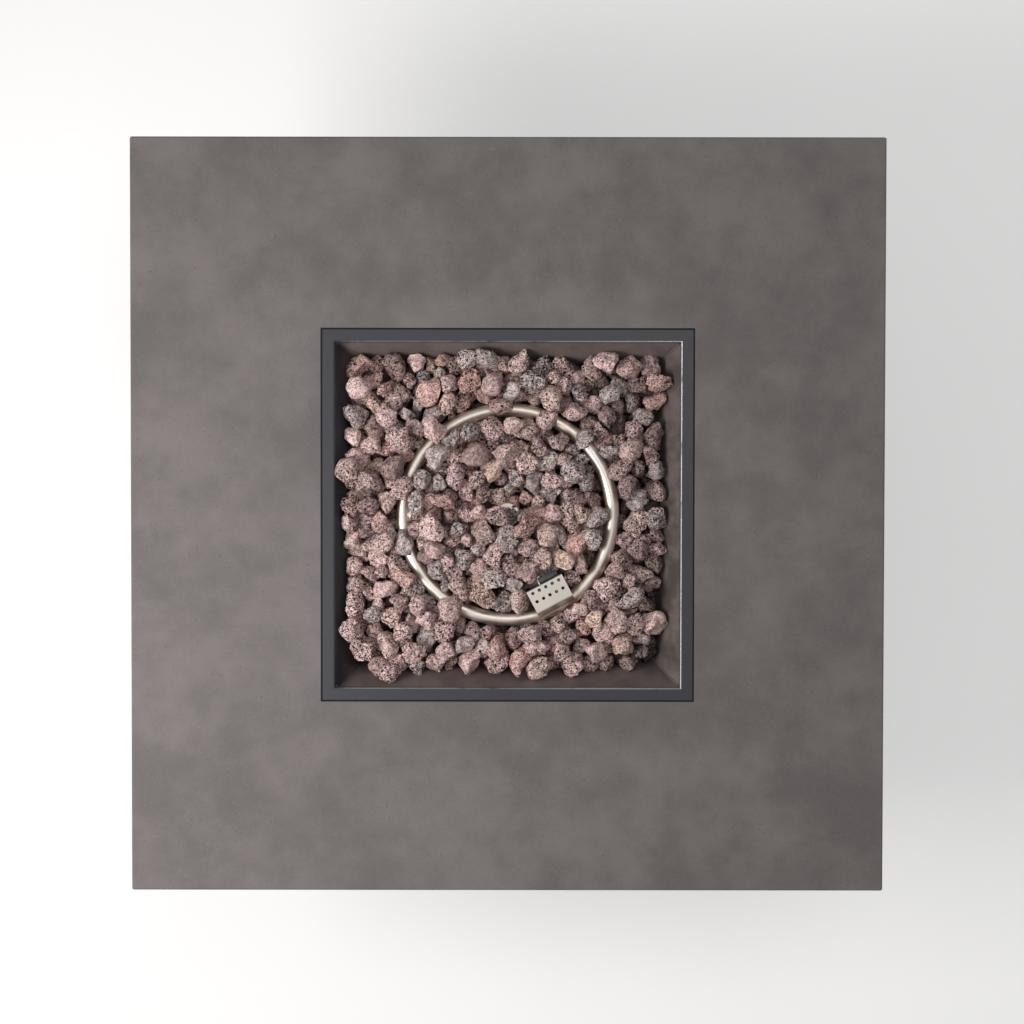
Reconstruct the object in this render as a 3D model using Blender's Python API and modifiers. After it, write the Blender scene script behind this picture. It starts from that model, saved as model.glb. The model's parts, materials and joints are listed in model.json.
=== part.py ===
"""Square gas fire table: a cast top with a drop-in burner pan, a ring burner in lava rock,
a pilot assembly, a gas train, and a panelled base with a door, controls and levelling feet.

The origin is on the floor under the middle of the table. +Z is up, and the controls face -Y.
"""

import math

import bmesh
import bpy
from mathutils import Matrix, Vector

MM = 0.001
GAP = 0.3 * MM
SHARP_ANGLE = math.radians(35)

# Driving sizes
TABLE_WIDTH = 1016 * MM
TABLE_HEIGHT = 610 * MM
BASE_WIDTH = 711 * MM
PANEL_THICK = 16 * MM
PAN_WIDTH = 499 * MM
RING_WIDTH = 304.8 * MM

# Cast top
SLAB_EDGE = 50 * MM
SLAB_SKIN = 18 * MM
SKIRT = 22 * MM
SLAB_BEVEL = 3 * MM
CUTOUT = 479 * MM
REBATE_WIDTH = 503.5 * MM
REBATE_DEPTH = 2.2 * MM
SLAB_UNDER = TABLE_HEIGHT - SLAB_EDGE
SKIN_UNDER = TABLE_HEIGHT - SLAB_SKIN

# Burner pan
PAN_SHEET = 1.5 * MM
PAN_RIM = 16 * MM
PAN_DEPTH = 76 * MM
PAN_TAPER = 30 * MM
PAN_TOP = TABLE_HEIGHT - REBATE_DEPTH + GAP + PAN_SHEET
PAN_FLOOR = PAN_TOP - PAN_DEPTH
PAN_UNDER = PAN_FLOOR - PAN_SHEET
PAN_MOUTH = PAN_WIDTH - 2 * PAN_RIM
PAN_FLOOR_WIDTH = PAN_MOUTH - 2 * PAN_TAPER

# Ring burner and its feed
RING_TUBE = 9.5 * MM
RING_WALL = 1.5 * MM
RING_RADIUS = RING_WIDTH / 2 - RING_TUBE
RING_Z = 572 * MM
PORTS = 16
CROSSBAR_TUBE = 8 * MM
HUB_RADIUS = 17 * MM
HUB_LOW = 548 * MM
HUB_HIGH = 583 * MM
HUB_SOCKET_TOP = 562 * MM
NIPPLE_RADIUS = 10.65 * MM
NIPPLE_BORE = 7.9 * MM
NIPPLE_LOW = 505 * MM
FEED_Z = 509 * MM
ELBOW_RADIUS = 13.5 * MM
MIXER_FROM = -16.3 * MM
MIXER_TO = -100 * MM
JET_TO = -124 * MM

# Lava rock
BED_TOP = 578 * MM
BED_GAP = 1 * MM

# Pilot, beside the ring, turned to face it
PILOT_ANGLE = math.radians(-62)
PILOT_RADIUS = 121 * MM
SHIELD_LENGTH = 54 * MM
SHIELD_DEPTH = 33 * MM
SHIELD_TOP = 597 * MM
SHIELD_SHEET = 0.8 * MM
PROBE_APART = 11 * MM
ELECTRODE_SIDE = 1

# Base
PANEL_LOW = 20 * MM
PANEL_HIGH = SKIN_UNDER - GAP
PANEL_BEVEL = 1.5 * MM
HALF_BASE = BASE_WIDTH / 2
HALF_INSIDE = HALF_BASE - PANEL_THICK
PANEL_JOINT = 1 * MM
DOOR_HIGH = 554 * MM
DOOR_LOW = 23 * MM
SHELF_LOW = 22 * MM
SHELF_SHEET = 1.5 * MM
SHELF_TOP = SHELF_LOW + SHELF_SHEET
SHELF_HALF = HALF_INSIDE - 0.8 * MM
SHELF_LIP = 45 * MM
POST_HALF = SHELF_HALF - SHELF_SHEET - 2 * MM
POST_LEG = 25 * MM
FOOT_AT = 290 * MM
STUD_RADIUS = 5 * MM
STUD_HOLE = 5.4 * MM

# Hinges at the back left corner, just outside the panel faces
HINGE_X = -HALF_INSIDE + 0.7 * MM
HINGE_Y = HALF_BASE + 4.5 * MM
HINGE_HEIGHTS = {"lower": 110 * MM, "upper": 470 * MM}
KNUCKLE = 4.2 * MM
HINGE_LEAF = 2 * MM

# Controls on the front panel
CONTROL_Z = 430 * MM
CONTROL_WIDTH = 150 * MM
CONTROL_HEIGHT = 90 * MM
CONTROL_SHEET = 1.5 * MM
CONTROL_BACK = -HALF_BASE - GAP
CONTROL_FACE = CONTROL_BACK - CONTROL_SHEET
KNOB_X = -31 * MM
IGNITER_X = 28 * MM
KNOB_TRAVEL = 4 * MM
VALVE_BACK = -312 * MM


def clear_scene():
    for obj in list(bpy.data.objects):
        bpy.data.objects.remove(obj, do_unlink=True)


def make_collection(name):
    collection = bpy.data.collections.new(name)
    bpy.context.scene.collection.children.link(collection)
    return collection


def make_material(name, colour, roughness, metallic=0.0):
    material = bpy.data.materials.new(name)
    material.use_nodes = True
    shader = material.node_tree.nodes["Principled BSDF"]
    shader.inputs["Base Color"].default_value = (*colour, 1)
    shader.inputs["Roughness"].default_value = roughness
    shader.inputs["Metallic"].default_value = metallic
    return material


def place(obj, name, material):
    """Names an object and files it with the parts or, if it has no material, with the cutters."""
    obj.name = name
    obj.data.name = name
    for collection in list(obj.users_collection):
        collection.objects.unlink(obj)
    if material is None:
        CUTTERS.objects.link(obj)
        obj.hide_render = True
        obj.display_type = "WIRE"
    else:
        PARTS.objects.link(obj)
        obj.data.materials.append(material)
    if obj.type == "MESH":
        obj.data.shade_smooth()
        obj.data.set_sharp_from_angle(angle=SHARP_ANGLE)
    return obj


def box(name, low, high, material=None):
    """An upright box between two opposite corners."""
    low = Vector(low)
    high = Vector(high)
    bpy.ops.mesh.primitive_cube_add(size=1, location=(low + high) / 2)
    obj = bpy.context.object
    obj.scale = high - low
    bpy.ops.object.transform_apply(location=False, rotation=False, scale=True)
    return place(obj, name, material)


def square(name, width, low, high, material=None):
    """A box of square plan about the Z axis, between two heights."""
    half = width / 2
    return box(name, (-half, -half, low), (half, half, high), material)


def rod(name, start, end, radius, material=None, sides=20):
    """A cylinder between two points."""
    start = Vector(start)
    end = Vector(end)
    axis = end - start
    bpy.ops.mesh.primitive_cylinder_add(
        vertices=sides, radius=radius, depth=axis.length, location=(start + end) / 2
    )
    obj = bpy.context.object
    obj.rotation_euler = axis.to_track_quat("Z", "Y").to_euler()
    return place(obj, name, material)


def torus(name, minor, major_segments, minor_segments, material=None):
    bpy.ops.mesh.primitive_torus_add(
        major_radius=RING_RADIUS,
        minor_radius=minor,
        major_segments=major_segments,
        minor_segments=minor_segments,
        location=(0, 0, RING_Z),
    )
    return place(bpy.context.object, name, material)


def turned(name, profile, location, axis, material=None, steps=24):
    """A turned solid. The profile's points are (radius, height), from the top down its outer side,
    and the height runs along the axis."""
    mesh = bpy.data.meshes.new(name)
    corners = [(radius, 0, height) for radius, height in profile]
    mesh.from_pydata(corners, [(i, i + 1) for i in range(len(corners) - 1)], [])
    obj = bpy.data.objects.new(name, mesh)
    bpy.context.scene.collection.objects.link(obj)
    obj.location = location
    obj.rotation_euler = Vector(axis).to_track_quat("Z", "Y").to_euler()
    screw = obj.modifiers.new("turn", "SCREW")
    screw.axis = "Z"
    screw.steps = steps
    screw.render_steps = steps
    screw.use_merge_vertices = True
    screw.merge_threshold = 0.01 * MM
    screw.use_smooth_shade = True
    return place(obj, name, material)


def smooth_route(route, step):
    """Points at about an even step along the Catmull-Rom curve through a route's points."""
    places = [Vector(p) for p in route]
    padded = [2 * places[0] - places[1], *places, 2 * places[-1] - places[-2]]
    found = [places[0]]
    for a, b, c, d in zip(padded, padded[1:], padded[2:], padded[3:]):
        pieces = max(1, round((c - b).length / step))
        for k in range(1, pieces + 1):
            t = k / pieces
            found.append(
                0.5
                * (
                    2 * b
                    + (c - a) * t
                    + (2 * a - 5 * b + 4 * c - d) * t**2
                    + (3 * b - a - 3 * c + d) * t**3
                )
            )
    return found


def tube(name, route, radius, step, material, wall=None):
    """A bent tube or lead along a route. With a wall it is hollow and open at both ends."""
    curve = bpy.data.curves.new(name, "CURVE")
    curve.dimensions = "3D"
    curve.bevel_depth = radius
    curve.bevel_resolution = 2
    curve.use_fill_caps = wall is None
    points = smooth_route(route, step)
    spline = curve.splines.new("POLY")
    spline.points.add(len(points) - 1)
    for point, position in zip(spline.points, points):
        point.co = (*position, 1)
    obj = bpy.data.objects.new(name, curve)
    bpy.context.scene.collection.objects.link(obj)
    if wall is not None:
        shell = obj.modifiers.new("wall", "SOLIDIFY")
        shell.thickness = wall
        shell.offset = -1
    return place(obj, name, material)


def shell_object(name, bm, sheet, offset, material, location=(0, 0, 0)):
    """An object from an open surface, with the sheet's thickness added by Solidify."""
    mesh = bpy.data.meshes.new(name)
    bm.to_mesh(mesh)
    bm.free()
    obj = bpy.data.objects.new(name, mesh)
    bpy.context.scene.collection.objects.link(obj)
    obj.location = location
    solidify = obj.modifiers.new("sheet", "SOLIDIFY")
    solidify.thickness = sheet
    solidify.offset = offset
    solidify.solidify_mode = "NON_MANIFOLD"
    solidify.nonmanifold_thickness_mode = "CONSTRAINTS"
    return place(obj, name, material)


def bent_sheet(name, profile, width, sheet, offset, material, frame):
    """A bent strip: an open profile of (across, up) points, swept along the frame's first axis.
    The frame is a matrix whose axes are along the strip, across it and up."""
    bm = bmesh.new()
    corners = [bm.verts.new((-width / 2, across, up)) for across, up in profile]
    edges = [bm.edges.new(pair) for pair in zip(corners, corners[1:])]
    swept = bmesh.ops.extrude_edge_only(bm, edges=edges)["geom"]
    moved = [v for v in swept if isinstance(v, bmesh.types.BMVert)]
    bmesh.ops.translate(bm, verts=moved, vec=(width, 0, 0))
    bm.normal_update()
    obj = shell_object(name, bm, sheet, offset, material)
    obj.matrix_world = frame
    return obj


def cut(obj, *cutters):
    for cutter in cutters:
        boolean = obj.modifiers.new("cut " + cutter.name, "BOOLEAN")
        boolean.operation = "DIFFERENCE"
        boolean.object = cutter
    return obj


def join(obj, *others):
    for other in others:
        boolean = obj.modifiers.new("join " + other.name, "BOOLEAN")
        boolean.operation = "UNION"
        boolean.object = other
    return obj


def ease(obj, width, segments=1):
    """Eases an object's edges with a small bevel."""
    bevel = obj.modifiers.new("ease", "BEVEL")
    bevel.width = width
    bevel.segments = segments
    bevel.limit_method = "ANGLE"
    return obj


def empty_at(name, location):
    empty = bpy.data.objects.new(name, None)
    empty.location = location
    empty.empty_display_size = 50 * MM
    PARTS.objects.link(empty)
    bpy.context.view_layer.update()
    return empty


def hang_on(empty, *objects):
    for obj in objects:
        obj.parent = empty
        obj.matrix_parent_inverse = empty.matrix_world.inverted()


def pan_half_width(z):
    """Half the width inside the pan's sloping walls at a height."""
    return PAN_MOUTH / 2 - PAN_TAPER * (PAN_TOP - z) / PAN_DEPTH


def pilot_frame():
    """Axes along the shield, outwards to the ring, and up, from the pan's middle."""
    outwards = Vector((math.cos(PILOT_ANGLE), math.sin(PILOT_ANGLE), 0))
    along = Vector((-outwards.y, outwards.x, 0))
    frame = Matrix((along, outwards, Vector((0, 0, 1)))).transposed().to_4x4()
    frame.translation = outwards * PILOT_RADIUS
    return frame


def at_pilot(along, outwards, z):
    return pilot_frame() @ Vector((along, outwards, z))


# ---- top and burner ----


def make_top_slab():
    slab = square("top_slab", TABLE_WIDTH, SLAB_UNDER, TABLE_HEIGHT, CAST)
    ease(slab, SLAB_BEVEL, 2)
    hollow = square("hollow", TABLE_WIDTH - 2 * SKIRT, SLAB_UNDER - SKIRT, SKIN_UNDER)
    cut(hollow, square("inner_skirt", CUTOUT + 2 * SKIRT, 0, TABLE_HEIGHT))
    mouth = square("mouth", CUTOUT, 0, TABLE_HEIGHT + SKIRT)
    rebate = square("rebate", REBATE_WIDTH, TABLE_HEIGHT - REBATE_DEPTH, TABLE_HEIGHT + SKIRT)
    cut(slab, hollow, mouth, rebate)


def make_burner_pan():
    bm = bmesh.new()
    bmesh.ops.create_grid(bm, x_segments=1, y_segments=1, size=PAN_WIDTH / 2)
    bowl = bm.faces[:][0]
    for inset, drop in ((PAN_RIM, 0), (PAN_TAPER, PAN_DEPTH)):
        bmesh.ops.inset_individual(
            bm, faces=[bowl], thickness=inset, depth=-drop, use_even_offset=True
        )
    bm.normal_update()
    pan = shell_object("burner_pan", bm, PAN_SHEET, -1, COATED, (0, 0, PAN_TOP))
    above = PAN_FLOOR + 10 * MM
    below = PAN_UNDER - 10 * MM
    holes = [rod("nipple_hole", (0, 0, below), (0, 0, above), 11.2 * MM)]
    for side in (-1, 1):
        x, y, _ = at_pilot(side * PROBE_APART, 0, 0)
        holes.append(rod("lead_hole", (x, y, below), (x, y, above), 4 * MM, sides=10))
        for other in (-1, 1):
            x = side * 150 * MM
            y = other * 150 * MM
            holes.append(rod("drain_hole", (x, y, below), (x, y, above), 5 * MM, sides=10))
    cut(pan, *holes)


def make_pan_brackets():
    """Four bent brackets that hold the pan's walls to the underside of the cast top."""
    wall_z = SLAB_UNDER - 2 * MM
    wall = pan_half_width(wall_z) + 3.2 * MM
    lean = PAN_TAPER / PAN_DEPTH
    profile = [
        (CUTOUT / 2 + 20 * MM, wall_z),
        (wall, wall_z),
        (wall - 24 * MM * lean, wall_z - 24 * MM),
    ]
    for k, side in enumerate(("right", "back", "left", "front")):
        frame = Matrix.Rotation(math.radians(90 * k - 90), 4, "Z")
        bracket = bent_sheet(
            "pan_bracket_" + side, profile, 40 * MM, 1.5 * MM, 0, STEEL, frame
        )
        hole_at = frame @ Vector((0, CUTOUT / 2 + 11 * MM, 0))
        under = (hole_at.x, hole_at.y, wall_z - 10 * MM)
        over = (hole_at.x, hole_at.y, wall_z + 10 * MM)
        cut(bracket, rod("bracket_hole", under, over, 2.6 * MM, sides=12))


def make_ring():
    """The ring is a hollow tube. Its flame ports are on the underside, leaning inwards."""
    ring = torus("burner_ring", RING_TUBE, 56, 14, STAINLESS)
    cut(ring, torus("ring_bore", RING_TUBE - RING_WALL, 56, 10))
    for k in range(PORTS):
        turn = math.tau * (k + 0.5) / PORTS
        centre = Vector((math.cos(turn), math.sin(turn), 0)) * RING_RADIUS
        centre.z = RING_Z
        lean = Vector((-math.cos(turn), -math.sin(turn), -1)).normalized()
        port = rod("port", centre, centre + lean * 2 * RING_TUBE, 1.2 * MM, sides=6)
        cut(ring, port)


def make_crossbar_and_hub():
    reach = RING_RADIUS
    bar = rod(
        "burner_crossbar", (-reach, 0, RING_Z), (reach, 0, RING_Z), CROSSBAR_TUBE, STAINLESS
    )
    cut(
        bar,
        rod("bar_bore", (-2 * reach, 0, RING_Z), (2 * reach, 0, RING_Z), 6.5 * MM, sides=16),
        torus("bar_ends", RING_TUBE + GAP, 56, 14),
        rod("bar_inlet", (0, 0, HUB_LOW), (0, 0, RING_Z), 5 * MM, sides=12),
    )
    hub = rod("burner_hub", (0, 0, HUB_LOW), (0, 0, HUB_HIGH), HUB_RADIUS, STAINLESS, 24)
    ease(hub, 1.5 * MM)
    cross = 2 * HUB_RADIUS
    cut(
        hub,
        rod("hub_cross", (-cross, 0, RING_Z), (cross, 0, RING_Z), CROSSBAR_TUBE + GAP),
        rod("hub_socket", (0, 0, NIPPLE_LOW), (0, 0, HUB_SOCKET_TOP), NIPPLE_RADIUS + GAP),
    )


def make_feed():
    """The nipple through the pan, its nut, the elbow, the air mixer and the jet."""
    top = HUB_SOCKET_TOP - GAP
    nipple = rod("inlet_nipple", (0, 0, NIPPLE_LOW), (0, 0, top), NIPPLE_RADIUS, BRASS)
    cut(nipple, rod("nipple_bore", (0, 0, 0), (0, 0, TABLE_HEIGHT), NIPPLE_BORE, sides=16))

    nut_top = PAN_UNDER - GAP
    nut_low = nut_top - 8 * MM
    nut = rod("burner_locknut", (0, 0, nut_low), (0, 0, nut_top), 17.3 * MM, BRASS, 6)
    cut(nut, rod("nut_bore", (0, 0, 0), (0, 0, TABLE_HEIGHT), NIPPLE_RADIUS + GAP))

    low = FEED_Z - ELBOW_RADIUS
    high = FEED_Z + ELBOW_RADIUS
    elbow = rod("gas_elbow", (0, 0, low), (0, 0, high), ELBOW_RADIUS + 0.5 * MM, BRASS)
    mouth = -30 * MM
    arm = rod("elbow_arm", (0, 0, FEED_Z), (0, mouth, FEED_Z), ELBOW_RADIUS)
    join(elbow, arm)
    cut(
        elbow,
        rod("elbow_down", (0, 0, NIPPLE_LOW - GAP), (0, 0, 2 * high), NIPPLE_RADIUS + GAP),
        rod("elbow_out", (0, MIXER_FROM + GAP, FEED_Z), (0, 2 * mouth, FEED_Z),
            NIPPLE_RADIUS + GAP),
        rod("elbow_way", (0, 0, FEED_Z), (0, mouth, FEED_Z), NIPPLE_BORE, sides=16),
    )

    mixer = rod(
        "air_mixer", (0, MIXER_FROM, FEED_Z), (0, MIXER_TO, FEED_Z), NIPPLE_RADIUS, STEEL
    )
    holes_y = -78 * MM
    wide = 2 * NIPPLE_RADIUS
    cut(
        mixer,
        rod("mixer_bore", (0, 0, FEED_Z), (0, 2 * MIXER_TO, FEED_Z), 8.5 * MM, sides=16),
        rod("air_across", (-wide, holes_y, FEED_Z), (wide, holes_y, FEED_Z), 4 * MM,
            sides=12),
        rod("air_through", (0, holes_y, FEED_Z - wide), (0, holes_y, FEED_Z + wide),
            4 * MM, sides=12),
    )

    head_from = MIXER_TO - GAP
    head_to = head_from - 11 * MM
    spigot_from = MIXER_TO + 10 * MM
    jet = rod("gas_jet", (0, head_from, FEED_Z), (0, head_to, FEED_Z), 11.5 * MM, BRASS, 6)
    join(
        jet,
        rod("jet_spigot", (0, spigot_from, FEED_Z), (0, head_to, FEED_Z), 8 * MM, sides=16),
        rod("jet_thread", (0, head_from, FEED_Z), (0, JET_TO, FEED_Z), 7 * MM, sides=16),
    )
    cut(jet, rod("jet_bore", (0, 0, FEED_Z), (0, 2 * JET_TO, FEED_Z), 1.5 * MM, sides=8))


def make_heat_shield():
    """A folded tray under the pan that keeps the flame's heat off the gas cylinder."""
    low = 490 * MM
    half = 195 * MM
    top = PAN_UNDER - GAP
    profile = [
        (-half + 16 * MM, top),
        (-half, top),
        (-half, low),
        (half, low),
        (half, top),
        (half - 16 * MM, top),
    ]
    frame = Matrix.Rotation(math.radians(90), 4, "Z")
    bent_sheet("heat_shield", profile, 380 * MM, 1 * MM, 1, STEEL, frame)


def make_gas_pipe():
    route = [
        (0, JET_TO - GAP, FEED_Z),
        (0, JET_TO - 30 * MM, FEED_Z),
        (-4 * MM, -190 * MM, 506 * MM),
        (-15 * MM, -228 * MM, 487 * MM),
        (-27 * MM, -262 * MM, 455 * MM),
        (KNOB_X, VALVE_BACK + 26 * MM, 440 * MM),
        (KNOB_X, VALVE_BACK + 12 * MM + GAP, 440 * MM),
    ]
    tube("gas_pipe", route, 5 * MM, 14 * MM, STEEL, wall=1 * MM)


def make_pilot():
    """A bracket on the pan's floor carries the electrode and the flame sensor,
    under a bent shield with two rows of holes."""
    frame = pilot_frame()
    half = SHIELD_DEPTH / 2
    profile = [
        (-half, SHIELD_TOP - 14 * MM),
        (-half, SHIELD_TOP),
        (half, SHIELD_TOP),
        (half + 7.5 * MM, SHIELD_TOP - 12.5 * MM),
    ]
    shield = bent_sheet(
        "pilot_shield", profile, SHIELD_LENGTH, SHIELD_SHEET, -1, STAINLESS, frame
    )
    pitch = 9.9 * MM
    for row in (-11 * MM, 1.4 * MM):
        for column in range(-2, 3):
            low = at_pilot(column * pitch, row, SHIELD_TOP - 4 * MM)
            high = at_pilot(column * pitch, row, SHIELD_TOP + 4 * MM)
            cut(shield, rod("shield_hole", low, high, 2.3 * MM, sides=12))

    upright = -half + SHIELD_SHEET + 1.5 * MM
    profile = [
        (upright + 16 * MM, SHIELD_TOP - 24 * MM),
        (upright, SHIELD_TOP - 24 * MM),
        (upright, PAN_FLOOR + GAP),
        (upright - 14 * MM, PAN_FLOOR + GAP),
    ]
    bracket = bent_sheet("pilot_bracket", profile, 44 * MM, 1.2 * MM, -1, STEEL, frame)
    for side, radius in ((ELECTRODE_SIDE, 4.2 * MM), (-ELECTRODE_SIDE, 3.2 * MM)):
        low = at_pilot(side * PROBE_APART, 0, SHIELD_TOP - 40 * MM)
        high = at_pilot(side * PROBE_APART, 0, SHIELD_TOP)
        cut(bracket, rod("bracket_seat", low, high, radius, sides=12))

    def probe(side, z):
        return at_pilot(side * PROBE_APART, 0, z)

    low, high = SHIELD_TOP - 44 * MM, SHIELD_TOP - 14 * MM
    side = ELECTRODE_SIDE
    insulator = rod(
        "electrode_insulator", probe(side, low), probe(side, high), 3.8 * MM, CERAMIC, 14
    )
    tip_from = high - 5 * MM
    tip_to = SHIELD_TOP - 4 * MM
    join(insulator, rod("tip", probe(side, tip_from), probe(side, tip_to), 1.2 * MM, sides=8))
    low -= 4 * MM
    high = SHIELD_TOP - 6 * MM
    rod("flame_sensor", probe(-side, low), probe(-side, high), 2.8 * MM, COPPER, 12)


def make_leads():
    """The ignition wire and the sensor's capillary run from the pilot to the controls,
    down through the pan's floor, along the heat shield and down behind the front panel."""
    x, y, z = at_pilot(ELECTRODE_SIDE * PROBE_APART, 0, SHIELD_TOP - 44 * MM - GAP)
    route = [
        (x, y, z),
        (x, y, PAN_UNDER - 2 * MM),
        (x + 2 * MM, y - 14 * MM, 512 * MM),
        (x + 3 * MM, y - 50 * MM, 498 * MM),
        (x - 4 * MM, y - 90 * MM, 496 * MM),
        (44 * MM, -236 * MM, 478 * MM),
        (33 * MM, -262 * MM, 446 * MM),
        (IGNITER_X, -284 * MM, CONTROL_Z),
        (IGNITER_X, -296.7 * MM, CONTROL_Z),
    ]
    tube("igniter_lead", route, 1.5 * MM, 12 * MM, BLACK)
    x, y, z = at_pilot(-ELECTRODE_SIDE * PROBE_APART, 0, SHIELD_TOP - 48 * MM - GAP)
    route = [
        (x, y, z),
        (x, y, PAN_UNDER - 2 * MM),
        (x - 1 * MM, y - 14 * MM, 512 * MM),
        (x - 6 * MM, y - 50 * MM, 499 * MM),
        (x - 16 * MM, y - 90 * MM, 496 * MM),
        (14 * MM, -236 * MM, 474 * MM),
        (-8 * MM, -264 * MM, 436 * MM),
        (KNOB_X, VALVE_BACK + 24 * MM, 420 * MM),
        (KNOB_X, VALVE_BACK + 8 * MM + GAP, 420 * MM),
    ]
    tube("sensor_capillary", route, 1.4 * MM, 12 * MM, COPPER)


def make_lava_bed():
    """The heap of lava rock as one block, with room in it for the burner and the pilot."""
    low = PAN_FLOOR + GAP
    mesh = bpy.data.meshes.new("lava_rock_bed")
    bm = bmesh.new()
    bmesh.ops.create_cone(
        bm,
        cap_ends=True,
        segments=4,
        radius1=(pan_half_width(low) - BED_GAP) * math.sqrt(2),
        radius2=(pan_half_width(BED_TOP) - BED_GAP) * math.sqrt(2),
        depth=BED_TOP - low,
    )
    bmesh.ops.rotate(bm, verts=bm.verts, matrix=Matrix.Rotation(math.radians(45), 3, "Z"))
    bm.to_mesh(mesh)
    bm.free()
    bed = bpy.data.objects.new("lava_rock_bed", mesh)
    bpy.context.scene.collection.objects.link(bed)
    bed.location.z = (BED_TOP + low) / 2
    place(bed, "lava_rock_bed", LAVA)

    room = 1 * MM
    over = TABLE_HEIGHT
    trench_floor = RING_Z - RING_TUBE - GAP
    trench = rod(
        "trench",
        (0, 0, trench_floor),
        (0, 0, over),
        RING_RADIUS + RING_TUBE + room,
        sides=56,
    )
    core = rod(
        "core", (0, 0, 0), (0, 0, 2 * over), RING_RADIUS - RING_TUBE - room, sides=56
    )
    cut(trench, core)
    bar_half = CROSSBAR_TUBE + room
    bar_way = box(
        "bar_way",
        (-RING_RADIUS, -bar_half, RING_Z - bar_half),
        (RING_RADIUS, bar_half, over),
    )
    hub_way = rod("hub_way", (0, 0, 0), (0, 0, over), HUB_RADIUS + room)
    pilot_way = box(
        "pilot_way",
        (-SHIELD_LENGTH / 2 - room, -SHIELD_DEPTH / 2 - 15 * MM, 0),
        (SHIELD_LENGTH / 2 + room, SHIELD_DEPTH / 2 + room, over),
    )
    offset = pilot_way.location.copy()
    pilot_way.matrix_world = pilot_frame() @ Matrix.Translation(offset)
    cut(bed, trench, bar_way, hub_way, pilot_way)


# ---- base ----


def make_panels():
    for side, sign in (("left", -1), ("right", 1)):
        inner = sign * HALF_INSIDE
        outer = sign * HALF_BASE
        panel = box(
            "side_panel_" + side,
            (min(inner, outer), -HALF_BASE, PANEL_LOW),
            (max(inner, outer), HALF_BASE, PANEL_HIGH),
            CAST,
        )
        ease(panel, PANEL_BEVEL)
        for k in range(5):
            z = (70 + 18 * k) * MM
            slot = box(
                "vent_slot",
                (min(inner, outer) - PANEL_THICK, -45 * MM, z),
                (max(inner, outer) + PANEL_THICK, 45 * MM, z + 8 * MM),
            )
            cut(panel, slot)

    half = HALF_INSIDE - PANEL_JOINT
    front = box(
        "front_panel",
        (-half, -HALF_BASE, PANEL_LOW),
        (half, -HALF_INSIDE, PANEL_HIGH),
        CAST,
    )
    ease(front, PANEL_BEVEL)
    window = box(
        "control_window",
        (-50 * MM, -2 * HALF_BASE, CONTROL_Z - 28 * MM),
        (50 * MM, 0, CONTROL_Z + 28 * MM),
    )
    cut(front, window)


def make_door():
    left = -HALF_INSIDE + 2 * MM
    right = HALF_INSIDE - 2 * MM
    door = box(
        "access_door", (left, HALF_INSIDE, DOOR_LOW), (right, HALF_BASE, DOOR_HIGH), CAST
    )
    ease(door, PANEL_BEVEL)
    profile = [
        (0, 24 * MM),
        (9 * MM, 24 * MM),
        (14 * MM, 21 * MM),
        (14 * MM, 16 * MM),
        (7 * MM, 9 * MM),
        (7 * MM, 3 * MM),
        (10 * MM, 0),
        (0, 0),
    ]
    knob = turned(
        "door_knob", profile, (290 * MM, HALF_BASE + GAP, 400 * MM), (0, 1, 0), STAINLESS
    )
    strike = box(
        "strike_plate",
        (284 * MM, HALF_INSIDE - GAP - 1.3 * MM, 378 * MM),
        (308 * MM, HALF_INSIDE - GAP, 422 * MM),
        STEEL,
    )
    catch = box(
        "magnetic_catch",
        (286 * MM, 318 * MM, 380 * MM),
        (POST_HALF - POST_LEG - GAP, 337.6 * MM, 420 * MM),
        BLACK,
    )
    back = POST_HALF - 2.5 * MM - GAP
    ear = box(
        "catch_ear", (300 * MM, back - 2.5 * MM, 388 * MM), (328 * MM, back, 412 * MM)
    )
    join(catch, ear)
    return [door, knob, strike]


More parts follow.
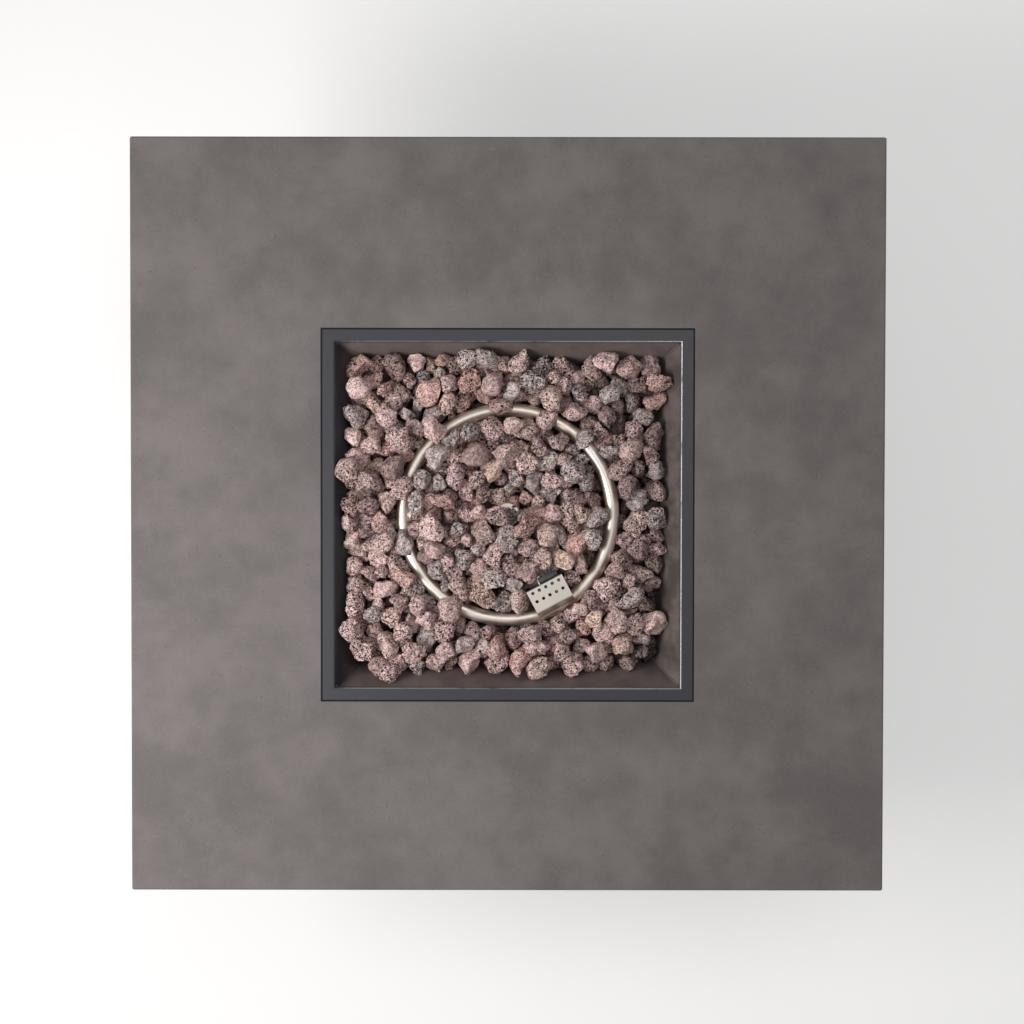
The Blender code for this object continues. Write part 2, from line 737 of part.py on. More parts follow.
def make_hinge(name, z):
    """A butt hinge: a leaf on the side panel's end, a leaf on the door, and a pin."""
    plate_low = HALF_BASE + GAP
    plate_high = plate_low + HINGE_LEAF
    tall = 25 * MM
    third = 8.7 * MM
    axis_low = (HINGE_X, HINGE_Y, z - tall)
    axis_high = (HINGE_X, HINGE_Y, z + tall)
    bore = rod("knuckle_bore", (HINGE_X, HINGE_Y, 0), (HINGE_X, HINGE_Y, 2 * z + tall),
               2.4 * MM, sides=16)

    fixed = box(
        name + "_hinge_fixed_leaf",
        (-HALF_BASE + 1 * MM, plate_low, z - tall),
        (HINGE_X, plate_high, z + tall),
        STEEL,
    )
    join(fixed, rod("fixed_knuckles", axis_low, axis_high, KNUCKLE, sides=16))
    gap_low = z - third - GAP
    gap_high = z + third + GAP
    clear = 1.5 * KNUCKLE
    cut(
        fixed,
        box(
            "middle_gap",
            (HINGE_X - clear, plate_low - clear, gap_low),
            (HINGE_X + clear, plate_high + 2 * clear, gap_high),
        ),
        bore,
    )

    door_leaf = box(
        name + "_hinge_door_leaf",
        (HINGE_X, plate_low, z - tall),
        (HINGE_X + 32 * MM, plate_high, z + tall),
        STEEL,
    )
    ends = [
        box(
            "end_gap",
            (HINGE_X - clear, plate_low - clear, low),
            (HINGE_X + clear, plate_high + 2 * clear, high),
        )
        for low, high in ((z - 2 * tall, z - third), (z + third, z + 2 * tall))
    ]
    middle = rod(
        "door_knuckle",
        (HINGE_X, HINGE_Y, z - third),
        (HINGE_X, HINGE_Y, z + third),
        KNUCKLE,
        sides=16,
    )
    cut(door_leaf, *ends)
    join(door_leaf, middle)
    cut(door_leaf, bore)

    profile = [
        (0, 2 * tall + 4 * MM),
        (3.4 * MM, 2 * tall + 3 * MM),
        (3.4 * MM, 2 * tall + GAP),
        (2 * MM, 2 * tall + GAP),
        (2 * MM, 0),
        (0, 0),
    ]
    turned(name + "_hinge_pin", profile, axis_low, (0, 0, 1), STEEL, steps=16)
    return door_leaf


def make_frame():
    """The frame inside the base: four angle posts and a welded ring under the top."""
    leg = 2.5 * MM
    low = SHELF_TOP + GAP
    high = PANEL_HIGH - 3 * MM - GAP
    for name, sx, sy in (
        ("front_left", -1, -1),
        ("front_right", 1, -1),
        ("back_left", -1, 1),
        ("back_right", 1, 1),
    ):
        outer = (sx * POST_HALF, sy * POST_HALF)
        inner = (sx * (POST_HALF - POST_LEG), sy * (POST_HALF - POST_LEG))
        post = box(
            "corner_post_" + name,
            (min(outer[0], inner[0]), min(outer[1], inner[1]), low),
            (max(outer[0], inner[0]), max(outer[1], inner[1]), high),
            STEEL,
        )
        hollow = (sx * (POST_HALF - leg), sy * (POST_HALF - leg))
        beyond = (sx * (POST_HALF - 2 * POST_LEG), sy * (POST_HALF - 2 * POST_LEG))
        cut(
            post,
            box(
                "post_inside",
                (min(hollow[0], beyond[0]), min(hollow[1], beyond[1]), 0),
                (max(hollow[0], beyond[0]), max(hollow[1], beyond[1]), TABLE_HEIGHT),
            ),
        )

    outer = 2 * (HALF_INSIDE - 1 * MM)
    sheet = 3 * MM
    frame = square("top_frame", outer, PANEL_HIGH - POST_LEG, PANEL_HIGH, STEEL)
    cut(
        frame,
        square("frame_inside", outer - 2 * sheet, 0, PANEL_HIGH - sheet),
        square("frame_mouth", outer - 2 * POST_LEG, 0, 2 * PANEL_HIGH),
    )


def make_shelf():
    """The floor of the base: a folded tray with foot holes and air slots."""
    bm = bmesh.new()
    bmesh.ops.create_grid(bm, x_segments=1, y_segments=1, size=SHELF_HALF)
    rim = bmesh.ops.extrude_edge_only(bm, edges=bm.edges[:])["geom"]
    lifted = [v for v in rim if isinstance(v, bmesh.types.BMVert)]
    bmesh.ops.translate(bm, verts=lifted, vec=(0, 0, SHELF_LIP - SHELF_LOW))
    bmesh.ops.recalc_face_normals(bm, faces=bm.faces[:])
    shelf = shell_object("bottom_shelf", bm, SHELF_SHEET, -1, STEEL, (0, 0, SHELF_LOW))
    below = SHELF_LOW - 5 * MM
    above = SHELF_TOP + 5 * MM
    for x in (-FOOT_AT, FOOT_AT):
        for y in (-FOOT_AT, FOOT_AT):
            cut(shelf, rod("foot_hole", (x, y, below), (x, y, above), STUD_HOLE, sides=16))
        for k in range(4):
            y = (-75 + 50 * k) * MM
            middle = math.copysign(190 * MM, x)
            cut(
                shelf,
                box(
                    "air_slot",
                    (middle - 40 * MM, y - 5 * MM, below),
                    (middle + 40 * MM, y + 5 * MM, above),
                ),
            )

    ring = rod(
        "cylinder_ring",
        (0, 0, SHELF_TOP + GAP),
        (0, 0, SHELF_TOP + 30 * MM),
        109 * MM,
        STEEL,
        32,
    )
    cut(ring, rod("cylinder_seat", (0, 0, 0), (0, 0, TABLE_HEIGHT), 106 * MM, sides=32))


def make_feet():
    """Levelling feet, fully screwed in, each with its nut on the shelf."""
    shoulder = SHELF_LOW - GAP
    profile = [
        (0, 58 * MM),
        (STUD_RADIUS, 58 * MM),
        (STUD_RADIUS, shoulder),
        (8.5 * MM, shoulder),
        (8.5 * MM, 10 * MM),
        (20 * MM, 6 * MM),
        (20 * MM, 0),
        (0, 0),
    ]
    for name, sx, sy in (
        ("front_left", -1, -1),
        ("front_right", 1, -1),
        ("back_left", -1, 1),
        ("back_right", 1, 1),
    ):
        x = sx * FOOT_AT
        y = sy * FOOT_AT
        turned("levelling_foot_" + name, profile, (x, y, 0), (0, 0, 1), BLACK, steps=20)
        low = SHELF_TOP + GAP
        nut = rod("foot_nut_" + name, (x, y, low), (x, y, low + 9 * MM), 9.8 * MM, STEEL, 6)
        cut(nut, rod("foot_thread", (x, y, 0), (x, y, 3 * low), STUD_HOLE, sides=16))


# ---- controls ----


def make_control_plate():
    plate = box(
        "control_plate",
        (-CONTROL_WIDTH / 2, CONTROL_FACE, CONTROL_Z - CONTROL_HEIGHT / 2),
        (CONTROL_WIDTH / 2, CONTROL_BACK, CONTROL_Z + CONTROL_HEIGHT / 2),
        STAINLESS,
    )
    behind = CONTROL_BACK + 10 * MM
    before = CONTROL_FACE - 10 * MM
    holes = [
        rod("valve_hole", (KNOB_X, before, CONTROL_Z), (KNOB_X, behind, CONTROL_Z), 8.4 * MM),
        rod("igniter_hole", (IGNITER_X, before, CONTROL_Z), (IGNITER_X, behind, CONTROL_Z),
            11.4 * MM),
    ]
    cut(plate, *holes)


def make_valve():
    """The gas valve behind the plate, its stem, the knob on it and the inlet for the hose."""
    front = CONTROL_BACK + GAP
    valve = box(
        "gas_valve",
        (KNOB_X - 17 * MM, front, CONTROL_Z - 22 * MM),
        (KNOB_X + 17 * MM, VALVE_BACK, CONTROL_Z + 22 * MM),
        BRASS,
    )
    nose = CONTROL_FACE - 3 * MM
    inlet_y = -325 * MM
    inlet_low = CONTROL_Z - 34 * MM
    join(
        valve,
        rod("nose", (KNOB_X, front + 5 * MM, CONTROL_Z), (KNOB_X, nose, CONTROL_Z), 8 * MM),
        rod("outlet", (KNOB_X, VALVE_BACK - 5 * MM, CONTROL_Z + 10 * MM),
            (KNOB_X, VALVE_BACK + 12 * MM, CONTROL_Z + 10 * MM), 8.5 * MM, sides=16),
        rod("sensor_port", (KNOB_X, VALVE_BACK - 5 * MM, CONTROL_Z - 10 * MM),
            (KNOB_X, VALVE_BACK + 8 * MM, CONTROL_Z - 10 * MM), 5 * MM, sides=12),
        rod("inlet", (KNOB_X, inlet_y, CONTROL_Z), (KNOB_X, inlet_y, inlet_low),
            7 * MM, sides=16),
    )
    stem_from = CONTROL_BACK + 12 * MM
    stem_to = CONTROL_FACE - 18 * MM
    cut(valve, rod("stem_bore", (KNOB_X, stem_from + GAP, CONTROL_Z),
                   (KNOB_X, 2 * stem_to, CONTROL_Z), 4.5 * MM, sides=16))
    rod("valve_stem", (KNOB_X, stem_from, CONTROL_Z), (KNOB_X, stem_to, CONTROL_Z), 4 * MM,
        STEEL, 16)

    hose_top = inlet_low - GAP
    inlet = rod(
        "hose_inlet",
        (KNOB_X, inlet_y, hose_top - 12 * MM),
        (KNOB_X, inlet_y, hose_top),
        10.5 * MM,
        BRASS,
        6,
    )
    join(
        inlet,
        rod("hose_thread", (KNOB_X, inlet_y, hose_top - 28 * MM),
            (KNOB_X, inlet_y, hose_top - 6 * MM), 7.5 * MM, sides=16),
    )
    cut(
        inlet,
        rod("hose_bore", (KNOB_X, inlet_y, 0), (KNOB_X, inlet_y, hose_top - 4 * MM), 4 * MM,
            sides=12),
    )


def make_knob():
    """A round knob with a grip across it, proud of the plate by its push travel."""
    back = CONTROL_FACE - KNOB_TRAVEL - GAP
    deep = 23 * MM
    profile = [
        (0, 9 * MM),
        (17 * MM, 9 * MM),
        (21 * MM, 7 * MM),
        (22.5 * MM, 0),
        (0, 0),
    ]
    knob = turned(
        "gas_knob", profile, (KNOB_X, back, CONTROL_Z), (0, -1, 0), BLACK, steps=32
    )
    grip = box(
        "knob_grip",
        (KNOB_X - 6 * MM, back - deep, CONTROL_Z - 19 * MM),
        (KNOB_X + 6 * MM, back - 5 * MM, CONTROL_Z + 19 * MM),
    )
    ease(grip, 2.5 * MM, 2)
    join(knob, grip)
    cut(
        knob,
        rod("knob_recess", (KNOB_X, 0, CONTROL_Z), (KNOB_X, back - 6 * MM, CONTROL_Z),
            9.5 * MM),
        rod("knob_bore", (KNOB_X, 0, CONTROL_Z), (KNOB_X, back - 19 * MM, CONTROL_Z),
            4.4 * MM, sides=16),
    )


def make_igniter():
    """The push-button igniter: a body with a collar, its nut, the button and the battery."""
    collar_back = CONTROL_FACE - GAP
    collar_front = collar_back - 3 * MM
    body_back = -297 * MM

    def on_axis(y):
        return (IGNITER_X, y, CONTROL_Z)

    body = rod("igniter_body", on_axis(collar_back - 1 * MM), on_axis(body_back), 11 * MM, BLACK)
    collar = rod("igniter_collar", on_axis(collar_back), on_axis(collar_front), 14.5 * MM,
                 sides=28)
    ease(collar, 0.8 * MM)
    join(body, collar)
    cut(body, rod("igniter_bore", on_axis(body_back - 3 * MM), on_axis(2 * collar_front), 8.3 * MM))

    nut_front = CONTROL_BACK + GAP
    nut = rod("igniter_nut", on_axis(nut_front), on_axis(nut_front + 5 * MM), 15 * MM, BLACK, 6)
    cut(nut, rod("igniter_thread", on_axis(0), on_axis(2 * collar_front), 11.4 * MM))

    profile = [
        (0, 5.6 * MM),
        (5.5 * MM, 5.2 * MM),
        (7.6 * MM, 3.6 * MM),
        (7.8 * MM, -6 * MM),
        (0, -6 * MM),
    ]
    turned("igniter_button", profile, on_axis(collar_front), (0, -1, 0), BLACK, steps=24)
    front = collar_front + 10.5 * MM
    rod("igniter_battery", on_axis(front), on_axis(front + 49 * MM), 7.2 * MM, STEEL, 16)


def main():
    make_top_slab()
    make_burner_pan()
    make_pan_brackets()
    make_ring()
    make_crossbar_and_hub()
    make_feed()
    make_heat_shield()
    make_gas_pipe()
    make_pilot()
    make_leads()
    make_lava_bed()

    make_panels()
    make_frame()
    make_shelf()
    make_feet()
    swinging = make_door()
    for name, z in HINGE_HEIGHTS.items():
        swinging.append(make_hinge(name, z))
    hang_on(empty_at("door_axis", (HINGE_X, HINGE_Y, 0)), *swinging)

    make_control_plate()
    make_valve()
    make_knob()
    make_igniter()


clear_scene()
PARTS = make_collection("fire_table")
CUTTERS = make_collection("cutters")
CAST = make_material("cast_composite", (0.165, 0.146, 0.140), 0.62)
COATED = make_material("gunmetal_coating", (0.068, 0.066, 0.074), 0.45)
STAINLESS = make_material("stainless_steel", (0.74, 0.71, 0.68), 0.25, 1.0)
STEEL = make_material("galvanised_steel", (0.42, 0.43, 0.44), 0.45, 1.0)
BRASS = make_material("brass", (0.72, 0.56, 0.30), 0.35, 1.0)
COPPER = make_material("copper", (0.72, 0.42, 0.30), 0.35, 1.0)
CERAMIC = make_material("ceramic", (0.86, 0.84, 0.80), 0.3)
BLACK = make_material("black_plastic", (0.02, 0.02, 0.021), 0.5)
LAVA = make_material("lava_rock", (0.29, 0.20, 0.18), 0.95)
main()
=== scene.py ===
"""Looks of the square gas fire table: cast composite, coated and brushed steel, and lava rock.

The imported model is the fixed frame. Every piece here takes its place and size from it.
"""

import json
import math
from contextlib import contextmanager

import bmesh
import bpy
import numpy as np
from bpy.props import FloatProperty, FloatVectorProperty, IntProperty, PointerProperty
from mathutils import Matrix, Vector


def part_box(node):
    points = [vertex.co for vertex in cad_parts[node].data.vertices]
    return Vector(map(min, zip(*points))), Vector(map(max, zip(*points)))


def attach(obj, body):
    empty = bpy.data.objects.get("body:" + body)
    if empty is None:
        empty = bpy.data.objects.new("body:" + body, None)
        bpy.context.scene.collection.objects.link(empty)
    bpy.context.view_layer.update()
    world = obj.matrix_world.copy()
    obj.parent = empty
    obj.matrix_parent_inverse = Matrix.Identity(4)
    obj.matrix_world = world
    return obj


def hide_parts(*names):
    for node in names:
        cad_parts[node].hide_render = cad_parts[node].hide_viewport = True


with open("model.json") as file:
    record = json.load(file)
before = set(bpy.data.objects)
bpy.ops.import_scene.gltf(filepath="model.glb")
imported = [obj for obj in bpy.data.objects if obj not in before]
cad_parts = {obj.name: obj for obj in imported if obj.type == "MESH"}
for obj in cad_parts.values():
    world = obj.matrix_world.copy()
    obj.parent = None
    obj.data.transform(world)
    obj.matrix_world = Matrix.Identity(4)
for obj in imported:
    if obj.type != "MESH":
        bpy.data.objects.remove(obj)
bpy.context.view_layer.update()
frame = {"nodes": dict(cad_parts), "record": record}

bl_info = {
    "name": "Fire Table",
    "version": (1, 0, 0),
    "blender": (4, 5, 0),
    "location": "View3D > Sidebar > Fire Table",
    "description": "Builds the finished pieces of a square gas fire table around its packed model",
    "category": "Add Mesh",
}

MM = 0.001
NODES = frame["nodes"]
BODY_OF = {
    node: body
    for body, members in frame["record"]["behaviour"]["bodies"].items()
    for node in members
}
SLOT_OF = {part["node"]: part["material_slot"] for part in frame["record"]["subparts"]}


def low(node):
    return Vector(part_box(node)[0])


def high(node):
    return Vector(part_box(node)[1])


def middle(node):
    return (low(node) + high(node)) / 2


TABLE_TOP = high("top_slab").z
PAN_TOP = high("burner_pan").z
PAN_HALF = high("burner_pan").x
PAN_SHEET = 1.5 * MM
PAN_FLOOR = low("burner_pan").z + PAN_SHEET
PAN_RIM = 16 * MM
MOUTH_HALF = PAN_HALF - PAN_RIM
PAN_TAPER = 30 * MM
WALL_LEAN = PAN_TAPER / (PAN_TOP - PAN_FLOOR)
RING_Z = middle("burner_ring").z
RING_TUBE = RING_Z - low("burner_ring").z
RING_RADIUS = high("burner_ring").x - RING_TUBE


# ---- modelling helpers ----

# Faces from which a piece is a heap of stones, which has no large flat faces.
DENSE_MESH = 20000


def deselect():
    if bpy.context.object and bpy.context.object.mode != "OBJECT":
        bpy.ops.object.mode_set(mode="OBJECT")
    bpy.ops.object.select_all(action="DESELECT")


def activate(piece):
    deselect()
    piece.select_set(True)
    bpy.context.view_layer.objects.active = piece


def settle(piece):
    """Moves a piece's place and turn into its mesh."""
    activate(piece)
    bpy.ops.object.transform_apply(location=True, rotation=True, scale=True)
    return piece


def rename(piece, name):
    piece.name = name
    piece.data.name = name
    return piece


def add_block(name, start, end):
    start = Vector(start)
    end = Vector(end)
    deselect()
    bpy.ops.mesh.primitive_cube_add(size=1, location=(start + end) / 2, scale=end - start)
    return settle(rename(bpy.context.object, name))


def add_rod(name, start, end, radius, sides=32):
    start = Vector(start)
    end = Vector(end)
    axis = end - start
    deselect()
    bpy.ops.mesh.primitive_cylinder_add(
        vertices=sides,
        radius=radius,
        depth=axis.length,
        location=(start + end) / 2,
        rotation=axis.to_track_quat("Z", "Y").to_euler(),
    )
    return settle(rename(bpy.context.object, name))


@contextmanager
def editing(piece, elements="FACE"):
    """Edit mode on one piece, with nothing selected to begin with."""
    activate(piece)
    bpy.ops.object.mode_set(mode="EDIT")
    bpy.ops.mesh.select_mode(type=elements)
    bpy.ops.mesh.select_all(action="DESELECT")
    yield
    bpy.ops.object.mode_set(mode="OBJECT")


def pick_edges(piece, test):
    """Selects the edges whose two ends pass a test."""
    shape = bmesh.from_edit_mesh(piece.data)
    for edge in shape.edges:
        edge.select_set(bool(test(edge.verts[0].co, edge.verts[1].co)))
    bmesh.update_edit_mesh(piece.data)


def modify(piece, kind, **settings):
    """Adds a modifier with its settings and applies it."""
    activate(piece)
    modifier = piece.modifiers.new(kind.title(), kind)
    for name, value in settings.items():
        setattr(modifier, name, value)
    bpy.ops.object.modifier_apply(modifier=modifier.name)
    return piece


def ease(piece, width, segments=2, angle=30):
    return modify(
        piece, "BEVEL", width=width, segments=segments, limit_method="ANGLE",
        angle_limit=math.radians(angle), harden_normals=False,
    )


def carve(piece, *cutters, operation="DIFFERENCE"):
    for cutter in cutters:
        modify(piece, "BOOLEAN", object=cutter, operation=operation)
        bpy.data.objects.remove(cutter, do_unlink=True)
    return piece


def smooth(piece, angle=35):
    """Smooth shading that keeps corners sharp and large faces flat."""
    activate(piece)
    bpy.ops.object.shade_smooth_by_angle(angle=math.radians(angle))
    if len(piece.data.polygons) < DENSE_MESH:
        modify(piece, "WEIGHTED_NORMAL", keep_sharp=True, weight=80)
    return piece


def turn_profile(name, profile, place, axis, steps=48):
    """A turned solid: (radius, height) points spun about an axis and closed at both ends."""
    deselect()
    bpy.ops.mesh.primitive_plane_add(size=1)
    piece = rename(bpy.context.object, name)
    shape = bmesh.new()
    corners = [shape.verts.new((radius, 0, height)) for radius, height in profile]
    for pair in zip(corners, corners[1:]):
        shape.edges.new(pair)
    shape.to_mesh(piece.data)
    shape.free()
    with editing(piece, "VERT"):
        bpy.ops.mesh.select_all(action="SELECT")
        bpy.ops.mesh.spin(steps=steps, angle=math.tau, center=(0, 0, 0), axis=(0, 0, 1))
        bpy.ops.mesh.select_all(action="SELECT")
        bpy.ops.mesh.remove_doubles(threshold=0.005 * MM)
        bpy.ops.mesh.normals_make_consistent(inside=False)
    piece.location = place
    piece.rotation_euler = Vector(axis).to_track_quat("Z", "Y").to_euler()
    return settle(piece)


def finish(piece, finish_name, *nodes, body=None, slot=None, angle=35):
    """Shades a piece, gives it its finish, and has it ride and stand for its CAD nodes."""
    smooth(piece, angle)
    piece.data.materials.clear()
    piece.data.materials.append(FINISHES[finish_name])
    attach(piece, body or BODY_OF[nodes[0]])
    if nodes:
        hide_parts(*nodes)
    return piece


def refine(node, name, finish_name, width=0.5 * MM, segments=2, angle=30):
    """A CAD node's shape with merged corners, whole faces and eased edges."""
    piece = bpy.data.objects.new(name, NODES[node].data.copy())
    piece.data.name = name
    bpy.context.scene.collection.objects.link(piece)
    with editing(piece, "VERT"):
        bpy.ops.mesh.select_all(action="SELECT")
        bpy.ops.mesh.remove_doubles(threshold=0.01 * MM)
        bpy.ops.mesh.dissolve_limited(angle_limit=math.radians(1))
    if width:
        ease(piece, width, segments, angle)
    return finish(piece, finish_name, node)


# ---- shader helpers ----


class Value:
    """A number in a material's node tree. Arithmetic on it adds Math nodes."""

    def __init__(self, finish, socket):
        self.finish = finish
        self.socket = socket

    def math(self, operation, *others, clamp=False):
        values = {k: other for k, other in enumerate((self, *others))}
        node = self.finish.node(
            "ShaderNodeMath", {"operation": operation, "use_clamp": clamp}, values
        )
        return Value(self.finish, node.outputs[0])

    def __add__(self, other):
        return self.math("ADD", other)

    __radd__ = __add__

    def __mul__(self, other):
        return self.math("MULTIPLY", other)

    __rmul__ = __mul__

    def __sub__(self, other):
        return self.math("SUBTRACT", other)

    def __rsub__(self, other):
        return self.math("MULTIPLY", -1) + other

    def __truediv__(self, other):
        return self.math("DIVIDE", other)

    def clamped(self):
        return self.math("ADD", 0.0, clamp=True)

    def above(self, start, end):
        """0 below start, 1 above end, and smooth between them."""
        node = self.finish.node(
            "ShaderNodeMapRange",
            {"interpolation_type": "SMOOTHSTEP"},
            {"Value": self, "From Min": start, "From Max": end},
        )
        return Value(self.finish, node.outputs[0])


class Finish:
    """A material with one Principled shader and the node methods that build its pattern."""

    def __init__(self, name, **constants):
        self.material = bpy.data.materials.new(name)
        self.material.use_nodes = True
        self.tree = self.material.node_tree
        self.shader = self.tree.nodes["Principled BSDF"]
        self.place = self.node("ShaderNodeTexCoord").outputs["Object"]
        for socket, value in constants.items():
            self.shader.inputs[socket.replace("_", " ")].default_value = value
        FINISHES[name] = self.material

    def node(self, kind, settings=None, inputs=None):
        node = self.tree.nodes.new(kind)
        for name, value in (settings or {}).items():
            setattr(node, name, value)
        for key, value in (inputs or {}).items():
            if isinstance(value, Value):
                value = value.socket
            if isinstance(value, bpy.types.NodeSocket):
                self.tree.links.new(value, node.inputs[key])
            else:
                node.inputs[key].default_value = value
        return node

    def value(self, socket):
        return Value(self, socket)

    def mapped(self, scale=(1, 1, 1), turn=(0, 0, 0)):
        node = self.node(
            "ShaderNodeMapping",
            {"vector_type": "POINT"},
            {"Vector": self.place, "Scale": scale, "Rotation": turn},
        )
        return node.outputs[0]

    def noise(self, scale, detail=2, roughness=0.5, at=None):
        inputs = {
            "Vector": at or self.place, "Scale": scale, "Detail": detail,
            "Roughness": roughness,
        }
        return self.value(self.node("ShaderNodeTexNoise", None, inputs).outputs[0])

    def cells(self, scale, at=None):
        inputs = {"Vector": at or self.place, "Scale": scale}
        return self.node("ShaderNodeTexVoronoi", None, inputs)

    def axis(self, letter, at=None):
        node = self.node("ShaderNodeSeparateXYZ", None, {0: at or self.place})
        return self.value(node.outputs["XYZ".index(letter)])

    def mix(self, amount, first, second, blend="MIX"):
        """A colour between two colours."""
        node = self.node("ShaderNodeMix", {"data_type": "RGBA", "blend_type": blend})
        for key, value in ((0, amount), (6, first), (7, second)):
            if isinstance(value, Value):
                value = value.socket
            if isinstance(value, bpy.types.NodeSocket):
                self.tree.links.new(value, node.inputs[key])
            elif key == 0:
                node.inputs[key].default_value = value
            else:
                node.inputs[key].default_value = (*value[:3], 1)
        return node.outputs[2]

    def feed(self, socket, source):
        if isinstance(source, Value):
            source = source.socket
        self.tree.links.new(source, self.shader.inputs[socket])

    def bump(self, height, depth, strength=1.0):
        """Raises the surface by up to depth, in metres, where height is 1."""
        inputs = {"Height": height, "Distance": depth, "Strength": strength}
        node = self.node("ShaderNodeBump", None, inputs)
        self.feed("Normal", node.outputs[0])


FINISHES = {}


def shade(colour, factor):
    return tuple(min(1.0, part * factor) for part in colour)


# ---- finishes ----


def cast_finish(name, colour, tone):
    """Matt cast composite: cloudy patches, a haze of paler wear, fine sand and pinholes painted
    dark as shade.
    """
    cast = Finish(name, Specular_IOR_Level=0.3)
    patches = cast.noise(6.5, 6, 0.62)
    clouds = cast.noise(17, 5, 0.6)
    haze = cast.noise(2.3, 2, 0.5)
    sand = cast.noise(950, 2, 0.7)
    grit = cast.noise(330, 3, 0.7)
    pinholes = 1 - cast.value(cast.cells(150).outputs[0]).above(0.08, 0.17)
    pits = pinholes * cast.noise(60, 1).above(0.56, 0.62)
    light = (patches * 0.5 + clouds * 0.35 + haze * 0.15).above(0.38, 0.62)
    base = cast.mix(light, shade(colour, 1 - tone), shade(colour, 1 + tone))
    base = cast.mix(sand.above(0.4, 0.7) * 0.4, base, shade(colour, 0.78))
    base = cast.mix(grit.above(0.56, 0.7) * 0.4, base, shade(colour, 1.32))
    # Painted shade: the pinholes are darkened in the colour.
    cast.feed("Base Color", cast.mix(pits * 0.6, base, shade(colour, 0.45)))
    cast.feed("Roughness", 0.6 + clouds * 0.12 + sand * 0.06)
    cast.bump(sand * 0.4 + grit * 0.4 + clouds * 0.8 - pits, 0.3 * MM, 0.6)


def coated_finish(name, colour, inside):
    """Powder-coated sheet. Inside the pan, heat and stone dust turn it matt and brown; its walls
    and bend carry painted light, shade and highlight.
    """
    coat = Finish(name, Specular_IOR_Level=0.5)
    peel = coat.noise(1400, 2, 0.5)
    fleck = coat.noise(420, 2, 0.6)
    scuff = coat.noise(60, 4, 0.7, at=coat.mapped((1, 6, 1), (0, 0, 0.8)))
    depth = (PAN_TOP - 1.2 * MM - coat.axis("Z")) / (4 * MM)
    down = depth.clamped()
    cloud = coat.noise(24, 4, 0.65)
    streak = coat.noise(38, 3, 0.6, at=coat.mapped((1, 1, 0.25)))
    dust = (cloud * 0.55 + streak * 0.55).above(0.42, 0.68)
    speck = coat.noise(500, 2, 0.6).above(0.66, 0.72)
    plain = coat.mix(fleck.above(0.4, 0.7) * 0.3, colour, shade(colour, 1.25))
    plain = coat.mix(scuff.above(0.62, 0.75) * 0.2, plain, shade(colour, 1.7))
    wall_dust_and_painted_light = coat.mix(dust, shade(inside, 0.62), shade(inside, 1.25))
    wall_dust_and_painted_light = coat.mix(speck * 0.5, wall_dust_and_painted_light, shade(inside, 1.9))
    # Painted light: the front and back walls are made lighter than the dust alone, as if lit.
    across = coat.axis("Y")
    ends = (across * across).above((MOUTH_HALF - 40 * MM) ** 2, (MOUTH_HALF - 12 * MM) ** 2)
    wall_dust_and_painted_light = coat.mix(ends * 0.4, wall_dust_and_painted_light, shade(inside, 1.6))
    # Painted shade: the left wall, facing away from the key light, gets the darker bare coat
    # instead of dust.
    clear_of_left_shade = coat.axis("X").above(4 * MM - MOUTH_HALF, 24 * MM - MOUTH_HALF)
    wall_dust_and_painted_light = coat.mix(clear_of_left_shade, shade(colour, 0.8), wall_dust_and_painted_light)
    # Bare metal along the bend: edge wear, placed stronger towards the right and left out on the
    # left where the highlight falls, so partly a painted highlight.
    drop = PAN_TOP - coat.axis("Z")
    bend = drop.above(0.25 * MM, 0.5 * MM) * (1 - drop.above(1.3 * MM, 1.9 * MM))
    highlight_side = 0.35 + coat.axis("X").above(0, 0.2) * 0.65
    wear_and_highlight = bend * coat.noise(45, 3, 0.6).above(0.25, 0.5) * highlight_side * clear_of_left_shade
    coated = coat.mix(down, plain, wall_dust_and_painted_light)
    coat.feed("Base Color", coat.mix(wear_and_highlight, coated, (0.50, 0.49, 0.48)))
    coat.feed("Metallic", wear_and_highlight)
    coat.feed("Roughness", 0.34 + peel * 0.1 + scuff * 0.08 + down * 0.3 - wear_and_highlight * 0.1)
    coat.bump(peel * 0.5 + fleck * 0.4 + down * dust * 1.5, 0.08 * MM, 0.6)


def brushed_finish(name, colour, along, roughness=0.2, heat=0.0):
    """Brushed stainless: fine hair lines across one direction, smears and a hint of straw."""
    metal = Finish(name, Metallic=1.0)
    stretch = {"X": (0.02, 1, 1), "Y": (1, 0.02, 1), "Z": (1, 1, 0.02), "": (1, 1, 1)}[along]
    hair = metal.noise(1900, 3, 0.7, at=metal.mapped(stretch))
    smear = metal.noise(26, 4, 0.6)
    tint = metal.noise(14, 2, 0.5).above(0.4, 0.7) * heat
    base = metal.mix(hair.above(0.3, 0.75) * 0.4, colour, shade(colour, 0.86))
    straw = tuple(part * tone for part, tone in zip(colour, (0.98, 0.84, 0.66)))
    metal.feed("Base Color", metal.mix(tint, base, straw))
    metal.feed("Roughness", roughness + hair * 0.14 + smear.above(0.45, 0.75) * 0.12)
    metal.bump(hair, 0.02 * MM, 0.35)


def plated_finish(name, colour, roughness=0.4, spangle=0.25):
    """Zinc plate, brass or black oxide: soft blotches over a fine grain."""
    metal = Finish(name, Metallic=1.0)
    grain = metal.noise(1300, 3, 0.6)
    blotch = metal.noise(90, 3, 0.6)
    crystal = metal.value(metal.cells(260).outputs[0])
    base = metal.mix(crystal.above(0.2, 0.7) * spangle, colour, shade(colour, 0.7))
    metal.feed("Base Color", metal.mix(blotch.above(0.5, 0.75) * 0.3, base, shade(colour, 0.6)))
    metal.feed("Roughness", roughness + grain * 0.15 + blotch * 0.1)
    metal.bump(grain, 0.02 * MM, 0.5)


